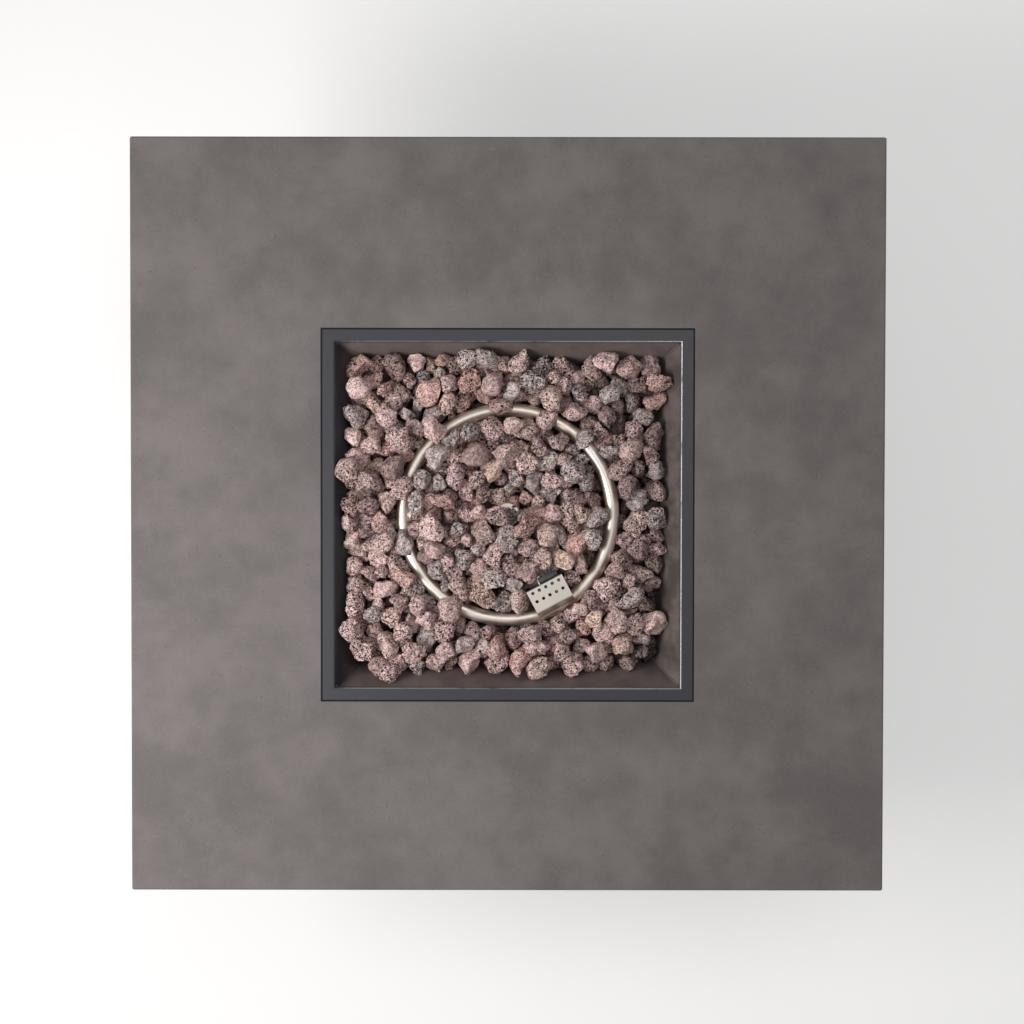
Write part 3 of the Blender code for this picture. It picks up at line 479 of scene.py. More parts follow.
def moulded_finish(name, colour, roughness=0.45, grain_size=1100, depth=0.05 * MM):
    """Moulded plastic, rubber or black powder coat with a fine leathery grain."""
    plastic = Finish(name, Specular_IOR_Level=0.5)
    grain = plastic.value(plastic.cells(grain_size).outputs[0])
    wear = plastic.noise(70, 4, 0.65)
    base = plastic.mix(wear.above(0.45, 0.8) * 0.5, colour, tuple(p + 0.02 for p in colour))
    plastic.feed("Base Color", base)
    plastic.feed("Roughness", roughness + wear * 0.16 + grain * 0.06)
    plastic.bump(grain, depth, 0.6)


def ceramic_finish():
    glaze = Finish("glazed_ceramic", Coat_Weight=0.4, Coat_Roughness=0.12)
    soot = glaze.noise(240, 3, 0.6).above(0.5, 0.75)
    glaze.feed("Base Color", glaze.mix(soot * 0.35, (0.8, 0.77, 0.7), (0.42, 0.34, 0.26)))
    glaze.feed("Roughness", 0.22 + soot * 0.3)
    glaze.bump(glaze.noise(900, 2, 0.5), 0.02 * MM, 0.4)


def stone_finish():
    """Porous lava rock, pores painted dark as shade. Each stone's colour, darker lower down as
    painted shade, and porosity come from its attribute.
    """
    rock = Finish("porous_lava", Specular_IOR_Level=0.15)
    own = rock.node("ShaderNodeAttribute", {"attribute_name": "stone"})
    colour = own.outputs["Color"]
    porosity = rock.value(own.outputs["Alpha"])
    drift = rock.node("ShaderNodeTexNoise", None, {"Vector": rock.place, "Scale": 330.0})
    stretch = {0: drift.outputs[1], 1: (0.003, 0.003, 0.003), 2: rock.place}
    bent = rock.node("ShaderNodeVectorMath", {"operation": "MULTIPLY_ADD"}, stretch).outputs[0]
    holes = 0
    for scale, wide, first in ((170, 0.27, 1.12), (290, 0.33, 1.0), (520, 0.34, 1.0)):
        cell = rock.cells(scale, at=bent)
        chosen = (rock.axis("X", at=cell.outputs["Color"]) - first + porosity).above(0.0, 0.1)
        deep = 1 - rock.value(cell.outputs[0]).above(wide - 0.09, wide + 0.05)
        holes = deep * chosen + holes
    holes = holes.clamped()
    mineral = rock.noise(190, 5, 0.78)
    crust = rock.noise(60, 3, 0.6)
    rough = rock.noise(620, 3, 0.7)
    dark = rock.mix(1.0, colour, (0.42, 0.38, 0.37), "MULTIPLY")
    pale = rock.mix(1.0, colour, (1.95, 1.95, 1.95), "MULTIPLY")
    base = rock.mix((mineral * 0.5 + rough * 0.5).above(0.41, 0.6), dark, pale)
    base = rock.mix(crust.above(0.55, 0.75) * 0.25, base, (0.60, 0.43, 0.37))
    # Painted shade: the pores are coloured near-black inside.
    inside = rock.mix(1.0, colour, (0.06, 0.046, 0.045), "MULTIPLY")
    rock.feed("Base Color", rock.mix(holes, base, inside))
    rock.feed("Roughness", 0.86 + mineral * 0.12)
    rock.bump(mineral + rough * 0.7 - holes, 3.2 * MM, 1.0)


def make_finishes(looks):
    cast_finish("cast_top", looks.top_colour, looks.top_tone)
    cast_finish("cast_panel", looks.top_colour, looks.top_tone)
    coated_finish("gunmetal_coat", looks.rim_colour, looks.dust_colour)
    brushed_finish("ring_stainless", shade(looks.steel_colour, 1.14), "", 0.34, 0.4)
    brushed_finish("sheet_stainless", shade(looks.steel_colour, 0.95), "", 0.36, 0.1)
    brushed_finish("plate_stainless", shade(looks.steel_colour, 0.9), "X", 0.24)
    plated_finish("zinc_plate", (0.46, 0.47, 0.48))
    plated_finish("sensor_copper", (0.72, 0.42, 0.28), 0.32, 0.1)
    plated_finish("machined_brass", (0.70, 0.54, 0.28), 0.26, 0.1)
    plated_finish("bare_aluminium", (0.70, 0.70, 0.71), 0.34, 0.1)
    moulded_finish("frame_black", (0.016, 0.016, 0.017), 0.5, 700)
    moulded_finish("black_plastic", (0.014, 0.014, 0.015), 0.36)
    moulded_finish("lead_rubber", (0.02, 0.02, 0.02), 0.6, 1500)
    # Painted shade: the near-black of the bead in the gap round the pan.
    moulded_finish("sealant", (0.004, 0.004, 0.004), 0.8, 900)
    ceramic_finish()
    stone_finish()


# ---- burner ----


def make_cast_top():
    """The cast top: a hollow slab with a rounded edge, its opening and the rebate round it."""
    start, end = low("top_slab"), high("top_slab")
    skirt = 22 * MM
    skin = 18 * MM
    cutout = PAN_HALF - 10 * MM
    rebate = PAN_HALF + 2.25 * MM
    rebate_floor = TABLE_TOP - 2.2 * MM
    slab = add_block("cast_top", start, end)
    ease(slab, 3 * MM, 5)
    under = end.z - skin

    hollow = add_block("hollow", (start.x + skirt, start.y + skirt, 0),
                       (end.x - skirt, end.y - skirt, under))
    inner = cutout + skirt
    carve(hollow, add_block("inner_skirt", (-inner, -inner, -1), (inner, inner, 1)))
    carve(
        slab,
        hollow,
        add_block("opening", (-cutout, -cutout, 0), (cutout, cutout, 1)),
        add_block("rebate", (-rebate, -rebate, rebate_floor), (rebate, rebate, 1)),
    )
    with editing(slab, "EDGE"):
        pick_edges(
            slab,
            lambda a, b: min(a.z, b.z) > TABLE_TOP - 0.1 * MM
            and max(abs(a.x), abs(a.y), abs(b.x), abs(b.y)) < rebate + 1 * MM,
        )
        bpy.ops.mesh.bevel(offset=0.9 * MM, segments=3, affect="EDGES")
    finish(slab, "cast_top", "top_slab")

    # Painted shade: a near-black bead fills the gap round the pan's flange to stand for its shade.
    gap = rebate - 0.1 * MM
    bead = add_block("sealant_bead", (-gap, -gap, rebate_floor), (gap, gap, TABLE_TOP - 0.6 * MM))
    flange = PAN_HALF + 0.1 * MM
    carve(bead, add_block("flange_room", (-flange, -flange, 0), (flange, flange, 1)))
    finish(bead, "sealant", body="table", slot="lead_rubber")


def make_pan():
    """The folded pan: a level flange, a rounded bend, sloping walls with welded corners."""
    deselect()
    bpy.ops.mesh.primitive_plane_add(size=2 * PAN_HALF, location=(0, 0, PAN_TOP))
    pan = settle(rename(bpy.context.object, "folded_pan"))
    with editing(pan):
        bpy.ops.mesh.select_all(action="SELECT")
        bpy.ops.mesh.inset(thickness=PAN_RIM, depth=0)
        bpy.ops.mesh.inset(thickness=PAN_TAPER, depth=PAN_FLOOR - PAN_TOP)
    level = 0.1 * MM
    with editing(pan, "EDGE"):
        pick_edges(
            pan,
            lambda a, b: abs(a.z - b.z) < level
            and max(abs(a.x), abs(a.y)) < PAN_HALF - level
            and max(abs(b.x), abs(b.y)) < PAN_HALF - level,
        )
        bpy.ops.mesh.bevel(offset=2.6 * MM, segments=6, affect="EDGES")
    modify(pan, "SOLIDIFY", thickness=PAN_SHEET, offset=-1, solidify_mode="NON_MANIFOLD",
           nonmanifold_thickness_mode="CONSTRAINTS")
    above = PAN_FLOOR + 10 * MM
    holes = [add_rod("inlet_hole", (0, 0, 0), (0, 0, above), 11.2 * MM)]
    for x in (-150 * MM, 150 * MM):
        for y in (-150 * MM, 150 * MM):
            holes.append(add_rod("drain_hole", (x, y, 0), (x, y, above), 5 * MM, 20))
    for probe in ("flame_sensor", "electrode_insulator"):
        x, y, _ = middle(probe)
        holes.append(add_rod("lead_hole", (x, y, 0), (x, y, above), 4 * MM, 20))
    carve(pan, *holes)
    ease(pan, 0.3 * MM, 2, 50)
    finish(pan, "gunmetal_coat", "burner_pan")

    half = MOUTH_HALF - 2.5 * MM
    foot = MOUTH_HALF - PAN_TAPER
    for k in range(4):
        turn = Matrix.Rotation(math.radians(90 * k), 3, "Z")
        top = turn @ Vector((half, half, PAN_TOP - 3 * MM))
        bottom = turn @ Vector((foot + 1 * MM, foot + 1 * MM, PAN_FLOOR + 2 * MM))
        bead = add_rod(f"corner_weld_{k + 1}", bottom, top, 1.1 * MM, 12)
        with editing(bead, "EDGE"):
            bpy.ops.mesh.select_all(action="SELECT")
            bpy.ops.mesh.subdivide(number_cuts=1)
        modify(bead, "BEVEL", width=0.4 * MM, segments=1)
        finish(bead, "gunmetal_coat", body="table", slot=SLOT_OF["burner_pan"])


def make_ring_burner():
    """The ring's tube with its flame ports, the crossbar that feeds it, the hub and welds."""
    deselect()
    bpy.ops.mesh.primitive_torus_add(
        major_radius=RING_RADIUS, minor_radius=RING_TUBE, major_segments=192,
        minor_segments=28, location=(0, 0, RING_Z),
    )
    ring = settle(rename(bpy.context.object, "ring_tube"))
    modify(ring, "SOLIDIFY", thickness=1.5 * MM, offset=-1)
    ports = []
    count = 16
    for k in range(count):
        turn = math.tau * (k + 0.5) / count
        centre = Vector((math.cos(turn), math.sin(turn), 0)) * RING_RADIUS
        centre.z = RING_Z
        lean = Vector((-math.cos(turn), -math.sin(turn), -1)).normalized()
        ports.append(add_rod("port", centre, centre + lean * 2 * RING_TUBE, 1.2 * MM, 12))
    deselect()
    for port in ports:
        port.select_set(True)
    bpy.context.view_layer.objects.active = ports[0]
    bpy.ops.object.join()
    carve(ring, bpy.context.object)
    finish(ring, "ring_stainless", "burner_ring")

    refine("burner_crossbar", "feed_crossbar", "ring_stainless", 0)
    refine("burner_hub", "feed_hub", "ring_stainless", 0.6 * MM)
    reach = RING_RADIUS - RING_TUBE
    bar = middle("burner_crossbar").z - low("burner_crossbar").z
    for name, side in (("left", -1), ("right", 1)):
        deselect()
        bpy.ops.mesh.primitive_torus_add(
            major_radius=bar + 0.6 * MM, minor_radius=1.6 * MM, major_segments=40,
            minor_segments=10, location=(side * (reach - 1 * MM), 0, RING_Z),
            rotation=(0, math.pi / 2, 0),
        )
        weld = settle(rename(bpy.context.object, "crossbar_weld_" + name))
        finish(weld, "ring_stainless", body="table", slot=SLOT_OF["burner_ring"])


# ---- pilot ----


def pilot_axes():
    """The pilot's middle, the direction along its hood and the direction out to the ring."""
    sensor = middle("flame_sensor")
    spark = middle("electrode_insulator")
    along = Vector((spark.x - sensor.x, spark.y - sensor.y, 0)).normalized()
    outwards = Vector((along.y, -along.x, 0))
    centre = Vector(((spark.x + sensor.x) / 2, (spark.y + sensor.y) / 2, 0))
    return centre, along, outwards


def pilot_matrix():
    centre, along, outwards = pilot_axes()
    matrix = Matrix((along, -outwards, Vector((0, 0, 1)))).transposed().to_4x4()
    matrix.translation = centre
    return matrix


def make_hood():
    """The pilot's hood: a bent stainless sheet with two rows of holes and open ends."""
    top = high("pilot_shield").z
    length, depth, sheet = 54 * MM, 33 * MM, 0.8 * MM
    slope_out, slope_down, back_down = 7.5 * MM, 12.5 * MM, 14 * MM
    deselect()
    bpy.ops.mesh.primitive_plane_add(size=1, location=(0, 0, top), scale=(1, 1, 1))
    hood = rename(bpy.context.object, "pilot_hood")
    hood.scale = (length, depth, 1)
    settle(hood)
    level = 0.1 * MM
    with editing(hood, "EDGE"):
        pick_edges(hood, lambda a, b: a.y < -depth / 2 + level and b.y < -depth / 2 + level)
        bpy.ops.mesh.extrude_region_move(
            TRANSFORM_OT_translate={"value": (0, -slope_out, -slope_down)}
        )
        pick_edges(hood, lambda a, b: a.y > depth / 2 - level and b.y > depth / 2 - level)
        bpy.ops.mesh.extrude_region_move(TRANSFORM_OT_translate={"value": (0, 0, -back_down)})
        pick_edges(
            hood,
            lambda a, b: abs(a.y - b.y) < level and min(a.z, b.z) > top - level,
        )
        bpy.ops.mesh.bevel(offset=1.3 * MM, segments=4, affect="EDGES")
    with editing(hood):
        bpy.ops.mesh.select_all(action="SELECT")
        bpy.ops.mesh.normals_make_consistent(inside=False)
    faces_down = sum(face.normal.z * face.area for face in hood.data.polygons) < 0
    if faces_down:
        hood.data.flip_normals()
    modify(hood, "SOLIDIFY", thickness=sheet, offset=-1, solidify_mode="NON_MANIFOLD",
           nonmanifold_thickness_mode="CONSTRAINTS")
    holes = []
    for row in (11 * MM, -1.4 * MM):
        for column in range(-2, 3):
            x = column * 9.9 * MM
            holes.append(add_rod("hole", (x, row, top - 4 * MM), (x, row, top + 4 * MM),
                                 2.3 * MM, 28))
    carve(hood, *holes)
    ease(hood, 0.15 * MM, 2, 40)
    hood.matrix_world = pilot_matrix()
    settle(hood)
    finish(hood, "sheet_stainless", "pilot_shield")


def make_spark_target():
    """The bent pin beside the hood that the spark jumps to, with its thicker end."""
    level = high("pilot_shield").z - 16 * MM
    side, near, far = -6 * MM, 8 * MM, 26.5 * MM
    pin = add_rod("spark_target", (side, near, level), (side, far, level), 1.3 * MM, 16)
    head = add_rod("head", (side - 4.5 * MM, far, level), (side + 4.5 * MM, far, level),
                   2.6 * MM, 24)
    leg = add_rod("leg", (side, near, level - 8.3 * MM), (side, near, level + 1 * MM), 1.3 * MM, 16)
    carve(pin, head, leg, operation="UNION")
    ease(pin, 0.3 * MM)
    pin.matrix_world = pilot_matrix()
    settle(pin)
    finish(pin, "sheet_stainless", body="table", slot=SLOT_OF["pilot_shield"])


def make_pilot():
    """The bracket with the spark electrode and the flame sensor under the hood."""
    make_spark_target()
    refine("pilot_bracket", "pilot_carrier", "zinc_plate", 0.25 * MM)
    spark = middle("electrode_insulator")
    foot = low("electrode_insulator").z
    head = high("electrode_insulator").z
    profile = [(0, 30 * MM), (2.6 * MM, 30 * MM), (3.2 * MM, 28 * MM)]
    for k in range(5):
        z = (25 - 5 * k) * MM
        profile += [(3.8 * MM, z + 1.2 * MM), (3.8 * MM, z - 1.2 * MM), (3.1 * MM, z - 2 * MM)]
    profile += [(3.1 * MM, 0), (0, 0)]
    sleeve = turn_profile("spark_sleeve", profile, (spark.x, spark.y, foot), (0, 0, 1), 28)
    finish(sleeve, "glazed_ceramic", "electrode_insulator")
    tip = add_rod("spark_tip", (spark.x, spark.y, foot + 28 * MM), (spark.x, spark.y, head),
                  1.2 * MM, 16)
    ease(tip, 0.4 * MM)
    finish(tip, "zinc_plate", body="table", slot="galvanised")
    sensor = middle("flame_sensor")
    foot = low("flame_sensor").z
    tall = high("flame_sensor").z - foot
    profile = [
        (0, tall), (1.4 * MM, tall - 0.3 * MM), (2.1 * MM, tall - 1.6 * MM),
        (2.1 * MM, tall - 18 * MM), (2.8 * MM, tall - 19 * MM), (2.8 * MM, 0), (0, 0),
    ]
    probe = turn_profile("sensor_probe", profile, (sensor.x, sensor.y, foot), (0, 0, 1), 28)
    finish(probe, "sensor_copper", "flame_sensor")


# ---- lava rock ----


# A stone is drawn a little smaller than the ball that it settles as, and its furthest
# corner is this many of its radii from its middle.
STONE_GAP = 0.965
STONE_REACH = 1.45
HEAP_TOP = TABLE_TOP + 24 * MM
HEAP_PULL = np.array([-0.15, 0.12, -1.0])
SETTLING_STEPS = 220
FIRST_PULL, LAST_PULL = 2.4, 0.25
BALL_OVERLAP = 0.95
# The left of the ring lies barer than the rest: the middle and spread of that arc, in degrees.
BARE_ARC, BARE_SPREAD = 150, 30
# Half the room kept free along and across the pilot's hood.
HOOD_ROOM_ALONG, HOOD_ROOM_ACROSS = 27 * MM, 24 * MM
STONE_COLOURS = (
    ((0.64, 0.463, 0.450), 24),
    ((0.66, 0.490, 0.455), 20),
    ((0.51, 0.430, 0.415), 18),
    ((0.42, 0.300, 0.290), 14),
    ((0.66, 0.490, 0.415), 5),
    ((0.62, 0.410, 0.375), 8),
    ((0.56, 0.365, 0.330), 3),
)


def make_stone_shapes(count, rng, subdivisions):
    """Unit stones: a stretched ball with chipped flats, slow lumps and a rough skin."""
    shapes = []
    for k in range(count):
        deselect()
        bpy.ops.mesh.primitive_ico_sphere_add(subdivisions=subdivisions, radius=1)
        stone = rename(bpy.context.object, f"stone_shape_{subdivisions}_{k}")
        points = np.array([corner.co for corner in stone.data.vertices])
        for _ in range(int(rng.integers(7, 13))):
            flat = rng.normal(size=3)
            flat /= np.linalg.norm(flat)
            proud = points @ flat - rng.uniform(0.45, 0.82)
            points -= np.outer(np.clip(proud, 0, None) * 0.95, flat)
        stone.data.vertices.foreach_set("co", points.astype(np.float32).ravel())
        stone.scale = rng.uniform(0.78, 1.2, 3) * (rng.uniform(1.0, 1.35), 1, 1)
        stone.location = rng.uniform(-50, 50, 3)
        settle(stone)
        lumps = (("CLOUDS", 0.8, 0.45), ("CLOUDS", 0.28, 0.3), ("VORONOI", 0.2, 0.2))
        for kind, size, strength in lumps[:subdivisions]:
            texture = bpy.data.textures.new("lumps", kind)
            texture.noise_scale = size
            modify(stone, "DISPLACE", texture=texture, strength=strength, mid_level=0.5)
        points = np.array([corner.co for corner in stone.data.vertices])
        points -= points.mean(0)
        points /= np.linalg.norm(points, axis=1).mean()
        stone.data.vertices.foreach_set("co", points.astype(np.float32).ravel())
        shapes.append(stone)
    return shapes


def resting_stones(rng):
    """Stones that lie across the ring and along the crossbar: places and radii."""
    across_ring = (
        (94, 147, 13.5), (67.5, 141, 14), (44, 147, 13.5), (131, 151, 16), (166, 146, 16),
        (195.5, 144, 15.5), (239, 149, 16.5),
    )
    places = []
    radii = []
    for angle, out, radius in across_ring:
        turn = math.radians(angle)
        lift = RING_Z + RING_TUBE + radius * 0.62 * MM
        places.append((out * MM * math.cos(turn), out * MM * math.sin(turn), lift))
        radii.append(radius * MM)
    bar_top = high("burner_crossbar").z
    for x in np.linspace(-117, 119, 13):
        radius = rng.uniform(13.5, 16) * MM
        side = rng.uniform(-3, 3) * MM
        places.append((x * MM, side, bar_top + radius * rng.uniform(0.4, 0.6)))
        radii.append(radius)
    return np.array(places), np.array(radii)


def settle_stones(radius, rng, fixed, fixed_radius):
    """Drops round stones into the pan and lets them push each other apart until they rest."""
    count = len(radius)
    half = MOUTH_HALF - 30 * MM
    place = np.column_stack([
        rng.uniform(-half, half, count),
        rng.uniform(-half, half, count),
        rng.uniform(PAN_FLOOR + 15 * MM, PAN_TOP + 70 * MM, count),
    ])
    place = np.vstack([place, fixed])
    radius = np.concatenate([radius, fixed_radius])
    free = np.ones(len(radius))
    free[count:] = 0
    pilot = [np.array(vector) for vector in pilot_axes()]
    reach = (radius[:, None] + radius[None, :]) * BALL_OVERLAP
    np.fill_diagonal(reach, 0)
    share = np.where(free[None, :] > 0, 0.5, 1.0) * free[:, None]
    for step in range(SETTLING_STEPS):
        pull = (FIRST_PULL * (1 - step / SETTLING_STEPS) + LAST_PULL) * MM
        place += np.outer(free, HEAP_PULL * pull)
        for _ in range(3):
            gap = place[:, None] - place[None]
            apart = np.sqrt((gap**2).sum(2)) + 1e-9
            push = np.clip(reach - apart, 0, None) / apart * share
            place += np.einsum("ij,ijk->ik", push, gap) * 0.75
            keep_clear(place, radius, free, *pilot)
    return place[:count]


def keep_clear(place, radius, free, centre, along, outwards):
    """Keeps stones inside the pan's walls and out of the burner and the pilot."""
    lean = 1 / math.sqrt(1 + WALL_LEAN**2)
    wall = MOUTH_HALF - WALL_LEAN * (PAN_TOP - place[:, 2]) - radius / lean
    for axis in (0, 1):
        place[:, axis] = np.clip(place[:, axis], -wall, wall)
    place[:, 2] = np.clip(place[:, 2], PAN_FLOOR + radius, HEAP_TOP - radius * STONE_REACH)

    flat = np.hypot(place[:, 0], place[:, 1]) + 1e-9
    out = flat - RING_RADIUS
    rise = place[:, 2] - RING_Z
    away = np.hypot(out, rise) + 1e-9
    short = np.clip(radius + RING_TUBE - away, 0, None) * free
    clock = np.degrees(np.arctan2(place[:, 1], place[:, 0])) % 360
    loose = np.exp(-(((clock - BARE_ARC) / BARE_SPREAD) ** 2))
    room = radius * 0.95 + RING_TUBE * (1.0 - 0.8 * loose)
    above = (rise > -RING_TUBE * 0.5) & (np.abs(out) < room)
    aside = np.where(out < 0, -1.0, 1.0) * (room - np.abs(out)) * 0.5 * free
    shift = np.where(above, aside, short * out / away)
    place[:, 2] += np.where(above, 0, short * rise / away)
    place[:, 0] += shift * place[:, 0] / flat
    place[:, 1] += shift * place[:, 1] / flat

    local = place - centre
    u = local @ along
    v = local @ outwards + 1 * MM
    room_u = HOOD_ROOM_ALONG + radius * 0.8 - np.abs(u)
    room_v = HOOD_ROOM_ACROSS + radius * 0.8 - np.abs(v)
    inside = (room_u > 0) & (room_v > 0) & (free > 0)
    by_u = inside & (room_u < room_v)
    by_v = inside & ~by_u
    place += np.outer(np.where(by_u, room_u * np.sign(u), 0) * 0.6, along)
    place += np.outer(np.where(by_v, room_v * np.sign(v), 0) * 0.6, outwards)


def random_turn(rng):
    quad = rng.normal(size=4)
    w, x, y, z = quad / np.linalg.norm(quad)
    return np.array((
        (1 - 2 * (y * y + z * z), 2 * (x * y - z * w), 2 * (x * z + y * w)),
        (2 * (x * y + z * w), 1 - 2 * (x * x + z * z), 2 * (y * z - x * w)),
        (2 * (x * z - y * w), 2 * (y * z + x * w), 1 - 2 * (x * x + y * y)),
    ))


def lay_stones(name, shapes, places, radii, rng):
    """Copies stones to their places as one piece, each with its own colour and porosity; lower
    stones get painted shade.
    """
    pool = [colour for colour, share in STONE_COLOURS for _ in range(share)]
    corners = []
    colours = []
    faces = []
    offset = 0
    for place, radius in zip(places, radii):
        shape = shapes[int(rng.integers(len(shapes)))].data
        points = np.empty(len(shape.vertices) * 3, np.float32)
        shape.vertices.foreach_get("co", points)
        turned = points.reshape(-1, 3) @ random_turn(rng).T
        corners.append(turned * radius * STONE_GAP + place)
        loops = np.empty(len(shape.loops), np.int32)
        shape.loops.foreach_get("vertex_index", loops)
        faces.append(loops.reshape(-1, 3) + offset)
        offset += len(shape.vertices)
        # Painted shade: the lower a stone lies in the pan, the darker its colour.
        depth = (place[2] - PAN_FLOOR) / (RING_Z - PAN_FLOOR)
        tone = np.array(pool[int(rng.integers(len(pool)))]) * rng.uniform(0.9, 1.35)
        tone *= np.clip(depth**2, 0.25, 1.0)
        porosity = rng.choice([0.15, 0.35, 0.5, 0.7, 0.9])
        colours.append(np.tile([*tone, porosity], (len(shape.vertices), 1)))
    mesh = bpy.data.meshes.new(name)
    mesh.from_pydata(np.vstack(corners).tolist(), [], np.vstack(faces).tolist())
    stone = mesh.color_attributes.new("stone", "FLOAT_COLOR", "POINT")
    stone.data.foreach_set("color", np.vstack(colours).astype(np.float32).ravel())
    heap = bpy.data.objects.new(name, mesh)
    bpy.context.scene.collection.objects.link(heap)
    return heap


def make_lava(looks):
    """The heap of lava rock, in pieces by where the stones lie."""
    rng = np.random.default_rng(looks.stone_seed)
    detailed = make_stone_shapes(36, rng, 3)
    plain = make_stone_shapes(10, rng, 2)
    spread = rng.random(looks.stone_count) ** 1.5
    radius = looks.stone_small + (looks.stone_large - looks.stone_small) * spread
    fixed, fixed_radius = resting_stones(rng)
    place = settle_stones(radius, rng, fixed, fixed_radius)
    seen = place[:, 2] > RING_Z - 14 * MM
    inside = np.hypot(place[:, 0], place[:, 1]) < RING_RADIUS
    x, y = place[:, 0], place[:, 1]
    zones = {
        "inside_ring": seen & inside,
        "front": seen & ~inside & (y < -np.abs(x)),
        "back": seen & ~inside & (y > np.abs(x)),
        "left": seen & ~inside & (x < -np.abs(y)),
        "right": seen & ~inside & (x > np.abs(y)),
    }
    heaps = [
        lay_stones("stones_" + name, detailed, place[chosen], radius[chosen], rng)
        for name, chosen in zones.items()
    ]
    heaps.append(lay_stones("stones_on_burner", detailed, fixed, fixed_radius, rng))
    heaps.append(lay_stones("stones_below", plain, place[~seen], radius[~seen], rng))
    for heap in heaps:
        finish(heap, "porous_lava", "lava_rock_bed", angle=60)
    for shape in detailed + plain:
        bpy.data.objects.remove(shape, do_unlink=True)


# ---- base ----


def make_base():
    """Panels, frame, shelf and feet."""
    for node, name in (
        ("side_panel_left", "left_panel"),
        ("side_panel_right", "right_panel"),
        ("front_panel", "control_panel"),
    ):
        refine(node, name, "cast_panel", 0.8 * MM, 3)
    refine("top_frame", "welded_frame", "frame_black", 0.5 * MM)
    refine("bottom_shelf", "folded_shelf", "zinc_plate", 0.4 * MM)
    refine("cylinder_ring", "cylinder_collar", "zinc_plate", 0.5 * MM)
    for corner in ("front_left", "front_right", "back_left", "back_right"):
        refine("corner_post_" + corner, "angle_post_" + corner, "frame_black", 0.5 * MM)
        refine("foot_nut_" + corner, "hex_nut_" + corner, "zinc_plate", 0.5 * MM)
        make_foot(corner)


def make_foot(corner):
    node = "levelling_foot_" + corner
    x, y, _ = middle(node)
    tall = high(node).z
    wide = high(node).x - x
    shoulder = 21.7 * MM
    profile = [
        (0, tall), (4.2 * MM, tall), (5 * MM, tall - 1 * MM), (5 * MM, shoulder),
        (8 * MM, shoulder), (8.5 * MM, shoulder - 0.6 * MM), (8.5 * MM, 12 * MM),
        (9.2 * MM, 10.4 * MM), (11 * MM, 9.3 * MM), (wide - 2.6 * MM, 6.6 * MM),
        (wide - 0.8 * MM, 5.4 * MM), (wide, 4.2 * MM), (wide, 1 * MM), (wide - 0.8 * MM, 0),
        (0, 0),
    ]
    foot = turn_profile("foot_" + corner, profile, (x, y, 0), (0, 0, 1), 40)
    finish(foot, "black_plastic", node)


def make_door():
    """The door with its knob, hinges, strike plate and catch."""
    refine("access_door", "rear_door", "cast_panel", 0.8 * MM, 3)
    start, end = low("door_knob"), high("door_knob")
    x, z = middle("door_knob").x, middle("door_knob").z
    wide = end.x - x
    deep = end.y - start.y
    profile = [
        (0, deep), (wide * 0.55, deep - 0.4 * MM), (wide * 0.8, deep - 1.4 * MM),
        (wide * 0.95, deep - 3.2 * MM), (wide, deep - 5.5 * MM), (wide * 0.93, deep - 8 * MM),
        (wide * 0.7, deep - 12 * MM), (wide * 0.52, 8 * MM), (wide * 0.5, 4 * MM),
        (wide * 0.66, 1.6 * MM), (wide * 0.72, 0), (0, 0),
    ]
    knob = turn_profile("pull_knob", profile, (x, start.y, z), (0, 1, 0), 48)
    finish(knob, "plate_stainless", "door_knob")
    refine("strike_plate", "catch_strike", "zinc_plate", 0.2 * MM)
    refine("magnetic_catch", "door_catch", "black_plastic", 0.6 * MM)
    for height in ("lower", "upper"):
        for part in ("fixed_leaf", "door_leaf", "pin"):
            name = f"{height}_hinge_{part}"
            refine(name, "zinc_" + name, "zinc_plate", 0.25 * MM)
        for part, sign in (("fixed_leaf", -1), ("door_leaf", 1)):
            make_hinge_screws(height, part, sign)


def make_hinge_screws(height, part, sign):
    """Countersunk screw heads on a hinge leaf."""
    node = f"{height}_hinge_{part}"
    start, end = low(node), high(node)
    face = start.y + 2 * MM
    x = start.x + 6 * MM if sign < 0 else end.x - 10 * MM
    for k, z in enumerate((start.z + 8 * MM, end.z - 8 * MM), start=1):
        profile = [(0, 0.5 * MM), (2.2 * MM, 0.4 * MM), (3.2 * MM, 0), (0, -1 * MM)]
        screw = turn_profile(f"{node}_screw_{k}", profile, (x, face, z), (0, 1, 0), 24)
        cross(screw, (x, face, z), Vector((0, 1, 0)), 1.7 * MM, 0.5 * MM)
        finish(screw, "zinc_plate", body=BODY_OF[node], slot="galvanised")


def cross(piece, place, out, reach, depth):
    """Cuts a cross recess into a screw's head."""
    place = Vector(place)
    for side in (Vector((1, 0, 0)), Vector((0, 0, 1))):
        other = out.cross(side)
        half = side * reach + other * 0.35 * MM
        low_corner = place - half - out * depth * 0.2
        high_corner = place + half + out * 3 * MM
        bounds = [sorted(pair) for pair in zip(low_corner, high_corner)]
        carve(piece, add_block("slot", [b[0] for b in bounds], [b[1] for b in bounds]))


# ---- controls ----


